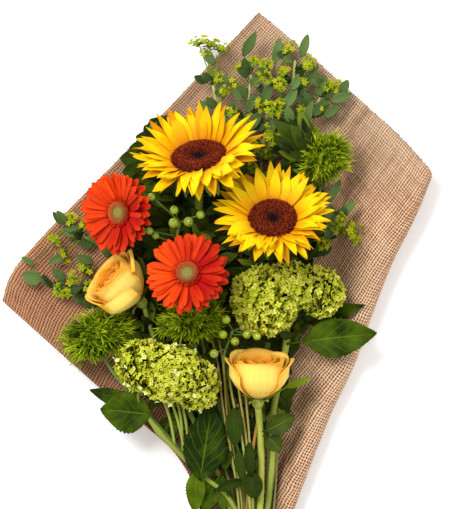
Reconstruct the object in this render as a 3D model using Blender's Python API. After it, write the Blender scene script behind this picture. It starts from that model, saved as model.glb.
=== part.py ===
"""A mixed bouquet lying in its burlap wrap: two sunflowers, two gerberas, two roses,
two hydrangeas, three green trick heads, hypericum and bupleurum, gathered by a jute tie.

The origin is on the flat underside of the wrap, +Y runs from the cut stems to the flower
heads and +Z is up. Sizes and places are in millimetres until a mesh is made.
"""

import math
import random

import bmesh
import bpy
import numpy as np

# The wrap, a rectangular sheet with its corners at the top, left, right and tie.
CLOTH_THICK = 1.2
CLOTH_TOP = (34.0, 288.0)
CLOTH_LEFT = (-223.0, -1.0)
CLOTH_RIGHT = (195.0, 131.0)
CLOTH_FOOT = (25.0, -290.0)
CLOTH_CELLS = (18, 13)
ROLL_CELLS = 3
ROLL_TURN = math.radians(200)

# The tie and the bundle of stems that it holds.
TIE_Y = -265.0
BUNDLE_X = 24.5
RING = (33.4, 20.7)
RING_X = 26.4
RING_Z = 22.35
TWINE_RADIUS = 1.5
TWINE_TURNS = 2
STEM_END_Y = -318.0
FAN_Y = -209.0
FAN_SPREAD = 1.5

# The heights at which stems run under the heads, from the cloth upward.
SPRAY_LEVEL = 5.4
LOW_LEVEL = 14.5
MIDDLE_LEVEL = 24.0
HIGH_LEVEL = 32.5

# Flowers, berries and leaves.
SUNFLOWER_RAYS = 13
SUNFLOWER_STEM = 4.2
DISC_SIDES = 16
GERBERA_RAYS = 15
GERBERA_EYE = 10.0
GERBERA_STEM = 2.4
ROSE_WALL = 1.0
ROSE_STEM = 2.6
ROSE_STEM_THICK = 3.5
FLORET_RISE = 2.6
FLORET_CHOICES = 1600
NEEDLE_SHARE = 0.36
CORE_SHARE = 0.64
HYDRANGEA_STEM = 3.3
PETIOLE = 1.8
BERRY_STALK = 1.5
SPRAY_STEM = 1.3
SIDE_STALK = 0.8
BLADE_THICK = 0.8
GAP = 0.4

MM = 0.001
WELD = 1e-4

COLOURS = {
    "jute": ((0.42, 0.27, 0.17), 0.95),
    "twine": ((0.45, 0.31, 0.18), 0.95),
    "yellow petal": ((0.95, 0.62, 0.02), 0.55),
    "seed brown": ((0.07, 0.025, 0.012), 0.85),
    "orange petal": ((0.80, 0.07, 0.01), 0.5),
    "gerbera eye": ((0.45, 0.20, 0.05), 0.8),
    "rose petal": ((0.95, 0.62, 0.16), 0.5),
    "floret green": ((0.55, 0.68, 0.18), 0.6),
    "fuzzy green": ((0.10, 0.26, 0.02), 0.7),
    "berry green": ((0.35, 0.50, 0.06), 0.35),
    "spray green": ((0.16, 0.27, 0.08), 0.6),
    "stem green": ((0.22, 0.36, 0.08), 0.55),
    "dark leaf": ((0.03, 0.10, 0.02), 0.45),
}


def unit(vector):
    return np.asarray(vector, float) / max(float(np.linalg.norm(vector)), 1e-9)


def smooth(value):
    value = np.clip(value, 0.0, 1.0)
    return value * value * (3 - 2 * value)


def curve_through(points, count):
    """Points evenly spread along a smooth curve through the given ones."""
    points = np.asarray(points, float)
    steps = np.linalg.norm(np.diff(points, axis=0), axis=1)
    along = np.concatenate([[0], np.cumsum(steps)])
    slopes = np.diff(points, axis=0) / steps[0]
    if len(points) > 2:
        slopes = np.gradient(points, along, axis=0)
    result = []
    for value in np.linspace(0, along[-1], count):
        k = min(int(np.searchsorted(along, value, side="right")) - 1, len(points) - 2)
        h = steps[k]
        t = (value - along[k]) / h
        start, end = slopes[min(k, len(slopes) - 1)], slopes[min(k + 1, len(slopes) - 1)]
        result.append(
            (2 * t**3 - 3 * t**2 + 1) * points[k] + (t**3 - 2 * t**2 + t) * h * start
            + (3 * t**2 - 2 * t**3) * points[k + 1] + (t**3 - t**2) * h * end
        )
    return np.array(result)


class Frame:
    """A place with axes: x and y across, z the way that the head faces."""

    def __init__(self, origin, facing, side=None):
        self.origin = np.asarray(origin, float)
        self.z = unit(facing)
        guide = np.array([1.0, 0.0, 0.0]) if side is None else unit(side)
        self.y = unit(np.cross(self.z, guide))
        self.x = np.cross(self.y, self.z)

    def at(self, x, y, z):
        return self.origin + self.x * x + self.y * y + self.z * z

    def out(self, angle):
        return self.x * math.cos(angle) + self.y * math.sin(angle)


def facing(tilt, toward):
    """The direction that leans from straight up by tilt, toward an angle in the plan."""
    tilt, toward = math.radians(tilt), math.radians(toward)
    return np.array(
        [math.sin(tilt) * math.cos(toward), math.sin(tilt) * math.sin(toward), math.cos(tilt)]
    )


# Solids are meshes in millimetres, closed and facing out. The layer "place" on their points
# says which point of a row, ring or list each one is.


def closed(work):
    """Merges the points that meet in a tip or a pole, and turns every face outward."""
    bmesh.ops.remove_doubles(work, verts=work.verts, dist=WELD)
    bmesh.ops.recalc_face_normals(work, faces=work.faces)
    return work


def of_kind(parts, kind):
    return [part for part in parts if isinstance(part, kind)]


def shell(work, tops, lows):
    """Extrudes a sheet into a solid: its own points go to tops, their copies to lows."""
    place = work.verts.layers.int["place"]
    grown = bmesh.ops.extrude_face_region(work, geom=work.faces[:])["geom"]
    copies = set(of_kind(grown, bmesh.types.BMVert))
    for vert in work.verts:
        vert.co = lows[vert[place]] if vert in copies else tops[vert[place]]
    return closed(work)


def loft(rows, normals, thickness):
    """A thin closed solid over rows of points; a row of one point is a tip."""
    wide = max(len(row) for row in rows)
    tops, lows = [], []
    for row, normal in zip(rows, normals):
        for k in range(wide):
            k = min(k, len(row) - 1)
            half = np.asarray(normal[k]) * thickness / 2
            tops.append(np.asarray(row[k]) + half)
            lows.append(np.asarray(row[k]) - half)
    work = bmesh.new()
    place = work.verts.layers.int.new("place")
    bmesh.ops.create_grid(work, x_segments=wide - 1, y_segments=len(rows) - 1, size=0.5)
    for vert in work.verts:
        row = round((vert.co.y + 0.5) * (len(rows) - 1))
        vert[place] = row * wide + round((vert.co.x + 0.5) * (wide - 1))
    return shell(work, tops, lows)


def tube(path, radii, sides=6):
    """A closed round rod: a circle extruded from station to station along a path."""
    path = np.asarray(path, float)
    radii = np.broadcast_to(radii, len(path))
    ahead = np.gradient(path, axis=0)
    side = unit(np.cross(ahead[0], (0.3, 0.1, 1.0)))
    work = bmesh.new()
    place = work.verts.layers.int.new("place")
    bmesh.ops.create_circle(work, segments=sides, radius=1.0)
    for k, vert in enumerate(work.verts):
        vert[place] = k
    end, ring = work.edges[:], work.verts[:]
    for station, (centre, way, radius) in enumerate(zip(path, ahead, radii)):
        if station:
            grown = bmesh.ops.extrude_edge_only(work, edges=end)["geom"]
            end, ring = of_kind(grown, bmesh.types.BMEdge), of_kind(grown, bmesh.types.BMVert)
        way = unit(way)
        side = unit(side - way * side.dot(way))
        other = np.cross(way, side)
        for vert in ring:
            turn = math.tau * vert[place] / sides
            vert.co = centre + radius * (side * math.cos(turn) + other * math.sin(turn))
    bmesh.ops.holes_fill(work, edges=work.edges, sides=0)
    return closed(work)


def ring_solid(frame, profile, sides, turn=0.0, shape=None):
    """A closed solid spun from (radius, height) points that start and end on the axis.

    shape gives a share of the radius and a lift for a point, from its ring and its number.
    """
    work = bmesh.new()
    ring = work.verts.layers.int.new("ring")
    line = []
    for number, (radius, height) in enumerate(profile):
        vert = work.verts.new((radius, 0, height))
        vert[ring] = number
        line.append(vert)
    edges = [work.edges.new(pair) for pair in zip(line, line[1:])]
    bmesh.ops.spin(work, geom=line + edges, cent=(0, 0, 0), axis=(0, 0, 1), angle=math.tau,
                   steps=sides, use_merge=True)
    for vert in work.verts:
        x, y, z = vert.co
        radius = math.hypot(x, y)
        number = round(math.atan2(y, x) / math.tau * sides) % sides
        share, lift = 1.0, 0.0
        if shape and radius > WELD:
            share, lift = shape(vert[ring], number)
        out = frame.out(math.tau * number / sides + turn)
        vert.co = frame.origin + out * radius * share + frame.z * (z + lift)
    return closed(work)


def ball(centre, radii, sides=8, rings=4):
    """A closed ellipsoid with its radii along X, Y and Z."""
    work = bmesh.new()
    bmesh.ops.create_uvsphere(work, u_segments=sides, v_segments=rings, radius=1.0)
    bmesh.ops.scale(work, vec=radii, verts=work.verts)
    bmesh.ops.translate(work, vec=centre, verts=work.verts)
    return closed(work)


def star(base, way, radius, depth, lift, arms=4, turn=0.0):
    """A small flower: pointed petals round a low middle, on a root that tapers inward."""
    frame = Frame(base, way, (0.31, 0.87, 0.42))

    def points_and_valleys(ring, number):
        return (0.5, 0.5 * lift) if number % 2 else (1.0, lift)

    profile = [(0, -depth), (radius, 0), (0, lift * 0.4)]
    return ring_solid(frame, profile, 2 * arms, turn, points_and_valleys)


def ray(frame, angle, start, height, length, width, rise, droop, shares, columns=3, crease=0.12):
    """A petal that leaves a head at an angle: rise and droop are in radians along its length."""
    out = frame.out(angle)
    across = np.cross(frame.z, out)
    rows, normals = [], []
    place = frame.origin + out * start + frame.z * height
    previous = 0.0
    for s, share in shares:
        lean = rise + droop * (s + previous) / 2
        place = place + (out * math.cos(lean) + frame.z * math.sin(lean)) * length * (s - previous)
        previous = s
        lean = rise + droop * s
        normal = frame.z * math.cos(lean) - out * math.sin(lean)
        half = width * share / 2
        if share == 0:
            rows.append([place])
            normals.append([normal])
            continue
        spread = np.linspace(-1, 1, columns)
        fold = normal * crease * width
        rows.append([place + across * half * c + fold * (abs(c) - 0.5) for c in spread])
        normals.append([normal] * columns)
    return loft(rows, normals, BLADE_THICK)


LEAF_SHARES = ((0.0, 0.2), (0.34, 0.96), (0.70, 0.80), (1.0, 0.0))
SMALL_LEAF_SHARES = ((0.0, 0.25), (0.5, 1.0), (1.0, 0.0))


def leaf(base, tip, width, up=(0, 0, 1), arch=0.12, fold=0.18, wave=0.0, waves=3.0,
         shares=LEAF_SHARES, columns=3, thickness=BLADE_THICK, stalk=None):
    """A leaf from base to tip, arched along its length, folded at the rib and waved at the edge.

    Its stalk is a narrow strip that starts at the point given.
    """
    base, tip = np.asarray(base, float), np.asarray(tip, float)
    along = tip - base
    length = float(np.linalg.norm(along))
    across = unit(np.cross(along, up))
    normal = unit(np.cross(across, along))
    rows, normals = [], []
    if stalk is not None and np.linalg.norm(base - stalk) > 2:
        rows.append([np.asarray(stalk) + across * c for c in np.linspace(-0.8, 0.8, columns)])
        normals.append([normal] * columns)
    for s, share in shares:
        middle = base + along * s + normal * arch * length * 4 * s * (1 - s)
        slope = arch * 4 * (1 - 2 * s)
        tilted = unit(normal - unit(along) * slope)
        if share == 0:
            rows.append([middle])
            normals.append([tilted])
            continue
        row = []
        for c in np.linspace(-1, 1, columns):
            rise = fold * abs(c) * width * share / 2
            rise += wave * abs(c) * math.sin(math.tau * waves * s + c * 1.4)
            row.append(middle + across * width * share / 2 * c + tilted * rise)
        rows.append(row)
        normals.append([tilted] * columns)
    return loft(rows, normals, thickness)


def stalked_leaf(joint, base, tip, width, **shape):
    """A leaf whose stalk starts at a joint: in one piece where it runs straight on, else in two."""
    joint, base, tip = (np.asarray(p, float) for p in (joint, base, tip))
    ahead = unit(tip - base)
    if unit(base - joint).dot(ahead) > 0.5:
        return [leaf(base, tip, width, stalk=joint, **shape)]
    stalk = tube([joint, base + ahead], SIDE_STALK, 3)
    return [stalk, leaf(base - ahead, tip, width, **shape)]


# Objects are made from solids by one Boolean union each.


def material(name):
    """The named colour as a material, made once."""
    colour, roughness = COLOURS[name]
    found = bpy.data.materials.get(name)
    if found is None:
        found = bpy.data.materials.new(name)
        found.use_nodes = True
        shader = found.node_tree.nodes["Principled BSDF"]
        shader.inputs["Base Color"].default_value = (*colour, 1.0)
        shader.inputs["Roughness"].default_value = roughness
        shader.inputs["Metallic"].default_value = 0.0
        found.diffuse_color = (*colour, 1.0)
    return found


def object_of(name, solid):
    """An object in metres from a solid in millimetres, which is used up."""
    bmesh.ops.scale(solid, vec=(MM, MM, MM), verts=solid.verts)
    bmesh.ops.triangulate(solid, faces=solid.faces)
    mesh = bpy.data.meshes.new(name)
    solid.to_mesh(mesh)
    solid.free()
    return bpy.data.objects.new(name, mesh)


def keep_largest_body(mesh):
    """Drops scraps and the walls of sealed hollows that a union leaves."""
    near = 2e-6
    work = bmesh.new()
    work.from_mesh(mesh)
    bmesh.ops.triangulate(work, faces=work.faces)
    bmesh.ops.remove_doubles(work, verts=work.verts, dist=near)
    bmesh.ops.dissolve_degenerate(work, edges=work.edges, dist=near)
    bmesh.ops.triangulate(work, faces=work.faces)
    left = set(work.faces)
    bodies = []
    while left:
        body, todo = [], [left.pop()]
        while todo:
            face = todo.pop()
            body.append(face)
            for edge in face.edges:
                for other in edge.link_faces:
                    if other in left:
                        left.remove(other)
                        todo.append(other)
        volume = sum(f.verts[0].co.dot(f.verts[1].co.cross(f.verts[2].co)) for f in body)
        bodies.append((volume, body))
    bodies.sort(key=lambda item: item[0], reverse=True)
    extra = [face for _, body in bodies[1:] for face in body]
    bmesh.ops.delete(work, geom=extra, context="FACES")
    work.to_mesh(mesh)
    work.free()


def combine(target, solids, operation, solver):
    """Joins solids to an object, or cuts them from it, by one Boolean on a collection."""
    others = bpy.data.collections.new("operands")
    bpy.context.scene.collection.children.link(others)
    for solid in solids:
        others.objects.link(object_of("operand", solid))
    boolean = target.modifiers.new("combine", "BOOLEAN")
    boolean.operand_type = "COLLECTION"
    boolean.collection = others
    boolean.operation = operation
    boolean.solver = solver
    graph = bpy.context.evaluated_depsgraph_get()
    joined = bpy.data.meshes.new_from_object(target.evaluated_get(graph))
    target.modifiers.clear()
    target.data = joined
    for used in list(others.objects):
        bpy.data.objects.remove(used)
    bpy.data.collections.remove(others)


def node(name, colour, solids, holes=(), solver="EXACT"):
    """One named object: the union of its solids less its holes, with its material."""
    first = object_of(name, solids[0])
    bpy.context.scene.collection.objects.link(first)
    if len(solids) > 1:
        combine(first, solids[1:], "UNION", solver)
    if holes:
        combine(first, holes, "DIFFERENCE", solver)
    keep_largest_body(first.data)
    first.data.materials.clear()
    first.data.materials.append(material(colour))
    first.data.shade_smooth()
    first.data.set_sharp_from_angle(angle=math.radians(40))
    return first


# The wrap. Each table gives, from the foot up, the x of an edge, the x where the cloth stops
# being flat, or the rise of an edge.

RIGHT_EDGE = ((-292, 28), (-265, 50), (-209, 73), (-168, 86), (-116, 104), (-56, 127), (-13, 142),
              (48, 168), (100, 186), (131, 195), (190, 131), (288, 34))
LEFT_EDGE = ((-292, 22), (-265, -1), (-209, -25), (-177, -35), (-152, -51), (-125, -81), (-84, -130),
             (-1, -223), (105, -142), (288, 34))
RIGHT_FLAT = ((-292, 25), (-265, 25), (-209, 46), (-168, 58), (-100, 78), (-13, 92), (48, 100),
              (131, 106), (190, 90), (288, 0))
LEFT_FLAT = ((-292, 25), (-265, 25), (-209, 6), (-168, -12), (-125, -50), (-84, -95), (-1, -160),
             (105, -110), (288, 40))
RIGHT_RISE = ((-292, 0), (-280, 3), (-267, 21), (-262, 23), (-209, 27), (-168, 28), (-100, 30),
              (-13, 32), (48, 36), (100, 38), (131, 36), (190, 16), (288, 4))
LEFT_RISE = ((-292, 0), (-280, 3), (-267, 22), (-262, 24), (-209, 27), (-168, 22), (-125, 14),
             (-84, 9), (-1, 7), (105, 5), (288, 4))
FOOT_RISE = ((-300, 4.6), (-262, 5.9), (-232, 1.6), (-205, 0.0))


def by_y(table, y):
    """The value of a table at a place along the wrap."""
    return float(np.interp(y, [row[0] for row in table], [row[1] for row in table]))


def cloth_height(x, y):
    """The height of the middle of the cloth over a place in the plan."""
    gather = smooth((-170 - y) / 80)
    right = np.clip((x - by_y(RIGHT_FLAT, y)) / max(by_y(RIGHT_EDGE, y) - by_y(RIGHT_FLAT, y), 1), 0, 1)
    left = np.clip((by_y(LEFT_FLAT, y) - x) / max(by_y(LEFT_FLAT, y) - by_y(LEFT_EDGE, y), 1), 0, 1)
    height = by_y(FOOT_RISE, y) + CLOTH_THICK / 2
    height += by_y(RIGHT_RISE, y) * ((1 - gather) * smooth(right) + gather * right**5)
    height += by_y(LEFT_RISE, y) * ((1 - gather) * left**2 + gather * left**5)
    return float(height)


def at_length(line, value):
    """The point at a share of a line's length."""
    steps = np.linalg.norm(np.diff(line, axis=0), axis=1)
    along = np.concatenate([[0], np.cumsum(steps)]) / steps.sum()
    return np.array([np.interp(value, along, line[:, k]) for k in range(line.shape[1])])


def cloth_grid(cells, roll_cells):
    """The sheet's middle surface: rows run from the top corner to the left one."""
    top, left, right, foot = (np.array(c) for c in (CLOTH_TOP, CLOTH_LEFT, CLOTH_RIGHT, CLOTH_FOOT))
    upper_left = curve_through([top, (-54, 195), (-142, 105), left], 60)
    upper_right = curve_through([top, (86, 237), (131, 190), (176, 149), right], 60)
    lower_left = curve_through(
        [left, (-130, -84), (-81, -125), (-51, -152), (-35, -177), (-25, -209), (-1, -265), foot], 80
    )
    lower_right = curve_through(
        [right, (186, 98), (168, 46), (142, -13), (127, -56), (104, -116), (86, -168), (72, -209),
         (49, -265), foot], 80
    )
    rows = []
    for u in 1 - (1 - np.linspace(0, 1, cells[0] + 1)) ** 1.3:
        row = []
        for v in 1 - (1 - np.linspace(0, 1, cells[1] + 1)) ** 1.25:
            plan = (1 - v) * at_length(upper_left, u) + v * at_length(lower_right, u)
            plan = plan + (1 - u) * at_length(upper_right, v) + u * at_length(lower_left, v)
            plan = plan - (1 - u) * (1 - v) * top - (1 - u) * v * right
            plan = plan - u * (1 - v) * left - u * v * foot
            row.append([plan[0], plan[1], cloth_height(*plan)])
        edge, before = np.array(row[-1]), np.array(row[-2])
        ahead = at_length(lower_right, min(u + 0.02, 1)) - at_length(lower_right, max(u - 0.02, 0))
        out = unit([-ahead[1], ahead[0]])
        radius = max(1.6, min(9.0 + 20 * u, 12.0, 1.6 + 22 * (1 - u) ** 0.8))
        for k in range(1, roll_cells + 1):
            turn = ROLL_TURN * k / roll_cells
            plan = edge[:2] + out * radius * math.sin(turn)
            row.append([plan[0], plan[1], edge[2] - radius * (1 - math.cos(turn))])
        rows.append(row)
    return np.array(rows)


def burlap_wrap():
    """The one sheet of cloth, gathered at its foot and rolled under along its right edge."""
    grid = cloth_grid(CLOTH_CELLS, ROLL_CELLS)
    normal = np.cross(np.gradient(grid, axis=0), np.gradient(grid, axis=1))
    normal /= np.linalg.norm(normal, axis=2, keepdims=True)
    node("burlap_wrap", "jute", [loft(list(grid), list(normal), CLOTH_THICK)])


# The stems and where each one lies in the bundle: across from its middle, and up.

SLOTS = {
    "bupleurum_7": (-6.1, 10.4),
    "bupleurum_6": (-3.5, 9.6),
    "bupleurum_1": (-1.35, 10.2),
    "bupleurum_2": (0.8, 10.2),
    "bupleurum_3": (2.8, 11.5),
    "bupleurum_4": (4.7, 13.5),
    "bupleurum_5": (10.7, 20.2),
    "bupleurum_8": (16.2, 21.9),
    "gerbera_1": (-8.4, 18.5),
    "sunflower_1": (-2.0, 18.4),
    "sunflower_2": (6.0, 18.1),
    "green_trick_1": (13.1, 22.0),
    "green_trick_2": (-16.9, 27.4),
    "rose_1": (-12.7, 28.3),
    "hypericum_1": (-9.2, 25.7),
    "gerbera_2": (3.42, 21.88),
    "upper_leaves": (-0.18, 24.28),
    "hydrangea_1": (11.7, 26.8),
    "hydrangea_2": (-8.5, 32.1),
    "green_trick_3": (-3.4, 33.0),
    "hypericum_2": (-0.3, 32.9),
    "leafy_stem": (2.1, 32.8),
    "rose_2": (6.9, 30.8),
}


def stem_path(start, leave, level, slot, count=9, way=(), lead=20.0):
    """A path from a head's base down to its level, along it and through the tie."""
    start = np.asarray(start, float)
    across, up = SLOTS[slot]
    fan = np.array([BUNDLE_X + across * FAN_SPREAD, FAN_Y, max(level, 0.62 * up)])
    tie = np.array([BUNDLE_X + across, TIE_Y, up])
    end = np.array([BUNDLE_X + across * 1.1, STEM_END_Y + 2.5 * (up % 5), up + 0.12 * (up - RING_Z)])
    points = [start]
    if lead:
        points.append(start + unit(leave) * lead)
    if way:
        points.extend(np.asarray(p, float) for p in way)
    else:
        middle = points[-1] * 0.55 + fan * 0.45
        middle[2] = level
        points.append(middle)
    points.extend([fan, tie, end])
    begins = max((p[1] for p in points if p[2] >= level - 0.5), default=fan[1])
    path = curve_through(points, count)
    low = (path[:, 1] <= begins) & (path[:, 2] < level)
    path[low, 2] = level
    return path


def nearest(path, place):
    """The point of a path that lies nearest to a place."""
    return path[int(np.argmin(np.linalg.norm(path - np.asarray(place, float), axis=1)))]


# Sunflowers, gerberas and roses.


def petal_sheet(count, ridged):
    """A flat ring of faces whose outer edges run out into petals, with every point numbered.

    First come the inner points, then the valleys between petals, the roots of ridged petals,
    and four for each petal: its left, middle and right, and its tip.
    """
    work = bmesh.new()
    place = work.verts.layers.int.new("place")
    bmesh.ops.create_circle(work, segments=count, radius=1.0)
    for k, vert in enumerate(work.verts):
        vert[place] = k
    grown = bmesh.ops.extrude_edge_only(work, edges=work.edges[:])["geom"]
    for vert in of_kind(grown, bmesh.types.BMVert):
        vert[place] += count
    for edge in of_kind(grown, bmesh.types.BMEdge):
        ends = sorted(vert[place] - count for vert in edge.verts)
        k = count - 1 if ends == [0, count - 1] else ends[0]
        line = [edge]
        if ridged:
            made = bmesh.ops.subdivide_edges(work, edges=[edge], cuts=1)["geom_inner"]
            root = of_kind(made, bmesh.types.BMVert)[0]
            root[place] = 2 * count + k
            line = list(root.link_edges)
        first = 3 * count + 4 * k
        grown = bmesh.ops.extrude_edge_only(work, edges=line)["geom"]
        for vert in of_kind(grown, bmesh.types.BMVert):
            side = 1 if vert[place] >= 2 * count else 0 if vert[place] == count + k else 2
            vert[place] = first + side
        grown = bmesh.ops.extrude_edge_only(work, edges=of_kind(grown, bmesh.types.BMEdge))["geom"]
        for vert in of_kind(grown, bmesh.types.BMVert):
            vert[place] = first + 3
    return work


def petal_layer(frame, count, inner, start, height, length, width, lean_at, rng,
                ridged=True, depth=2.6, peak=0.5, droop=0.25):
    """One thin closed sheet: a ring whose outer edge runs out into petals."""
    step = math.tau / count
    inner /= math.cos(step / 2)
    thick = frame.z * depth
    inners, valleys, roots, petals = [], [], [], []
    for k in range(count):
        out = frame.out(step * (k - 0.5))
        inners.append((frame.origin + out * inner + frame.z * height, thick))
        valleys.append((frame.origin + out * start + frame.z * height, thick))
    for k in range(count):
        angle = step * k + rng.uniform(-0.04, 0.04)
        out = frame.out(angle)
        across = np.cross(frame.z, out)
        reach = length * rng.uniform(0.93, 1.07)
        lean = math.radians(lean_at(angle) + rng.uniform(-2.5, 2.5))
        root = frame.origin + out * start + frame.z * (height + (0.3 if ridged else 0.0))
        first = lean + droop * 0.5
        second = lean - droop * 0.5
        middle = root + (out * math.cos(first) + frame.z * math.sin(first)) * reach * peak
        tip = middle + (out * math.cos(second) + frame.z * math.sin(second)) * reach * (1 - peak)
        normal = frame.z * math.cos(lean) - out * math.sin(lean)
        thin = normal * BLADE_THICK
        half = width / 2 * rng.uniform(0.92, 1.06)
        roots.append((root, thick))
        petals += [(middle - across * half, thin), (middle + normal * 0.1 * width, thin),
                   (middle + across * half, thin), (tip, thin)]
    points = inners + valleys + roots + petals
    tops = [top for top, _ in points]
    lows = [top - down for top, down in points]
    return shell(petal_sheet(count, ridged), tops, lows)


def sunflower(name, frame, disc, length, width, rise, swing, seed):
    """rise is the petals' mean angle from the disc's plane, and swing adds to it at the top."""
    rng = random.Random(seed)
    half_step = math.pi / SUNFLOWER_RAYS
    turned = Frame(frame.origin, frame.z, frame.out(half_step))
    solids = []
    for layer, shift, ridged, height, depth, less in (
        (frame, 0, True, -1.6, 3.0, 0), (turned, half_step, False, -3.8, 1.2, 5)
    ):
        def lean_at(angle):
            return rise + swing * math.sin(angle + shift) - less

        solids.append(petal_layer(layer, SUNFLOWER_RAYS, disc + GAP, disc + 3.0, height, length - 3,
                                  width, lean_at, rng, ridged, depth))
    node(name + "_petals", "yellow petal", solids)
    node(name + "_disc", "seed brown", [seed_disc(frame, disc)])
    green = [
        ring_solid(frame, [(0, -20), (5.5, -18), (0.6 * disc, -12), (0.9 * disc, -8.4),
                           (0.9 * disc, -5.15), (0, -5.15)], 8)
    ]
    for k in range(7):
        angle = math.tau * k / 7
        lean = math.radians(rise + swing * math.sin(angle) - 34)
        green.append(
            ray(frame, angle, 0.75 * disc, -9.8, disc * 0.85, 11, lean, -0.2,
                ((0.0, 0.8), (0.45, 1.0), (1.0, 0.0)), columns=2)
        )
    path = stem_path(frame.at(0, 0, -15), -frame.z, LOW_LEVEL, name, way=STEM_WAYS.get(name, ()))
    green.append(tube(path, SUNFLOWER_STEM, 5))
    node(name + "_stem", "stem green", green)


def seed_disc(frame, radius):
    """A low dome whose face rises in alternate bumps where the florets stand."""
    profile = [(0, -4.8), (radius, -4.8), (radius, 0.2), (0.84 * radius, 2.6), (0.62 * radius, 3.0),
               (0.40 * radius, 1.8), (0.18 * radius, 1.0), (0, 0.8)]

    def bumps(ring, number):
        if ring not in (3, 4, 5):
            return 1.0, 0.0
        return 1.0, 1.4 if (ring + number) % 2 == 0 else -0.3

    return ring_solid(frame, profile, DISC_SIDES, shape=bumps)


def gerbera(name, frame, radius, level, seed, rise=8):
    """Two layers of rays round a raised eye, with a cup beneath on a long stem."""
    rng = random.Random(seed)
    eye = GERBERA_EYE
    turned = Frame(frame.origin, frame.z, frame.out(math.pi / GERBERA_RAYS))
    solids = []
    for layer, height, share, width, depth, lean in (
        (frame, -2.8, 1.0, 10.8, 0.9, rise), (turned, -1.2, 0.84, 8.8, 2.2, rise + 7)
    ):
        reach = (radius - eye - 4) * share
        solids.append(petal_layer(layer, GERBERA_RAYS, eye + GAP, eye + 4, height, reach, width,
                                  lambda angle: lean, rng, False, depth, peak=0.7))
    node(name + "_petals", "orange petal", solids, solver="MANIFOLD")
    profile = [(0, -4.0), (eye, -4.0), (eye, 2.0), (0.78 * eye, 3.2), (0.5 * eye, 1.6), (0, 2.8)]

    def crown(ring, number):
        return 1.0, 1.6 if ring == 2 and number % 2 == 0 else 0.0

    node(name + "_eye", "gerbera eye", [ring_solid(frame, profile, 14, shape=crown)])
    path = stem_path(frame.at(0, 0, -10), -frame.z, level, name, way=STEM_WAYS.get(name, ()))
    calyx = ring_solid(frame, [(0, -13), (3.5, -12), (9.5, -6.5), (9.5, -4.35), (0, -4.35)], 7)
    node(name + "_stem", "stem green", [calyx, tube(path, GERBERA_STEM, 5)])


def cup_petal(frame, angle, half_span, radius, height, flare, tuck, columns=4):
    """A rose petal: part of a cup that widens upward, with one edge tucked under the next petal."""
    levels = ((0.0, 0.32), (0.45, 0.97), (1.0, 0.9 + flare))
    grid = []
    for share, wide in levels:
        row = []
        for c in np.linspace(-1, 1, columns):
            turn = angle + half_span * c * (0.55 + 0.45 * math.sin(math.pi * min(share + 0.25, 0.75)))
            reach = radius * wide * (1 + tuck * c)
            top = height * share * (1 - 0.10 * c * c * share)
            row.append(frame.origin + frame.out(turn) * reach + frame.z * (top + 1.0))
        grid.append(row)
    grid = np.array(grid)
    normal = np.cross(np.gradient(grid, axis=0), np.gradient(grid, axis=1))
    normal /= np.linalg.norm(normal, axis=2, keepdims=True)
    return loft(list(grid), list(normal), ROSE_WALL)


# From the heart outward: petals, share of the radius, share of the height, flare, half span,
# tuck and points across.
ROSE_LAYERS = ((3, 0.46, 0.90, -0.04, 1.0, 0.09, 3), (3, 0.74, 0.96, 0.05, 1.02, 0.09, 3),
               (5, 0.97, 0.93, 0.17, 0.72, 0.07, 4))


def rose_bloom(name, frame, radius, height, seed):
    """Layers of cupped petals round a closed heart."""
    rng = random.Random(seed)
    heart = [(0, -1.0), (0.30 * radius, 0.2), (0.36 * radius, 6), (0.30 * radius, 0.5 * height),
             (0.14 * radius, 0.82 * height), (0, 0.84 * height)]
    solids = [ring_solid(frame, heart, 7)]
    for number, (count, wide, tall, flare, span, tuck, columns) in enumerate(ROSE_LAYERS):
        for k in range(count):
            angle = math.tau * (k + 0.37 * number) / count + rng.uniform(-0.06, 0.06)
            solids.append(
                cup_petal(frame, angle, span, radius * wide, height * tall * rng.uniform(0.98, 1.02),
                          flare, tuck, columns)
            )
    node(name + "_petals", "rose petal", solids)


def rose_stem(name, frame, level, leaflets, thick=ROSE_STEM):
    """The cup and five sepals under a rose, its stem, and leaflets given by base, tip and width."""
    solids = [ring_solid(frame, [(0, -12), (4.2, -10.5), (6.4, -6), (5.4, -1.35), (0, -1.35)], 7)]
    for k in range(5):
        solids.append(
            ray(frame, math.tau * (k + 0.3) / 5, 3.5, -4.2, 20, 6.0, -0.35 - 0.25 * (k % 2), -0.5,
                ((0.0, 0.9), (0.45, 1.0), (1.0, 0.0)), columns=2)
        )
    path = stem_path(frame.at(0, 0, -9), -frame.z, level, name, way=STEM_WAYS.get(name, ()))
    solids.append(tube(path, thick, 5))
    for base, tip, width in leaflets:
        joint = nearest(curve_through(path, 60), base)
        solids += stalked_leaf(joint, base, tip, width, wave=0.7)
    node(name + "_stem", "stem green", solids)


# Round heads of florets and needles: one closed skin each, raised by a rule.


def even_ways(count):
    """Directions spread evenly over a sphere."""
    ways = []
    for k in range(count):
        z = 1 - 2 * (k + 0.5) / count
        turn = k * math.pi * (3 - math.sqrt(5))
        flat = math.sqrt(1 - z * z)
        ways.append((flat * math.cos(turn), flat * math.sin(turn), z))
    return np.array(ways)


def skin_over(ways):
    """The triangles that join directions into one closed skin, with its points numbered."""
    work = bmesh.new()
    place = work.verts.layers.int.new("place")
    for k, way in enumerate(ways):
        vert = work.verts.new(way)
        vert[place] = k
    bmesh.ops.convex_hull(work, input=work.verts)
    bmesh.ops.triangulate(work, faces=work.faces)
    return work


def reach_of(way, middle, lobes):
    """How far the skin of overlapping ellipsoids lies from a middle point, along a direction."""
    best = 1.0
    for centre, radii in lobes:
        d, m = way / radii, (middle - centre) / radii
        a, b, c = d.dot(d), 2 * d.dot(m), m.dot(m) - 1
        inside = b * b - 4 * a * c
        if inside > 0:
            best = max(best, (-b + math.sqrt(inside)) / (2 * a))
    return best


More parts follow.
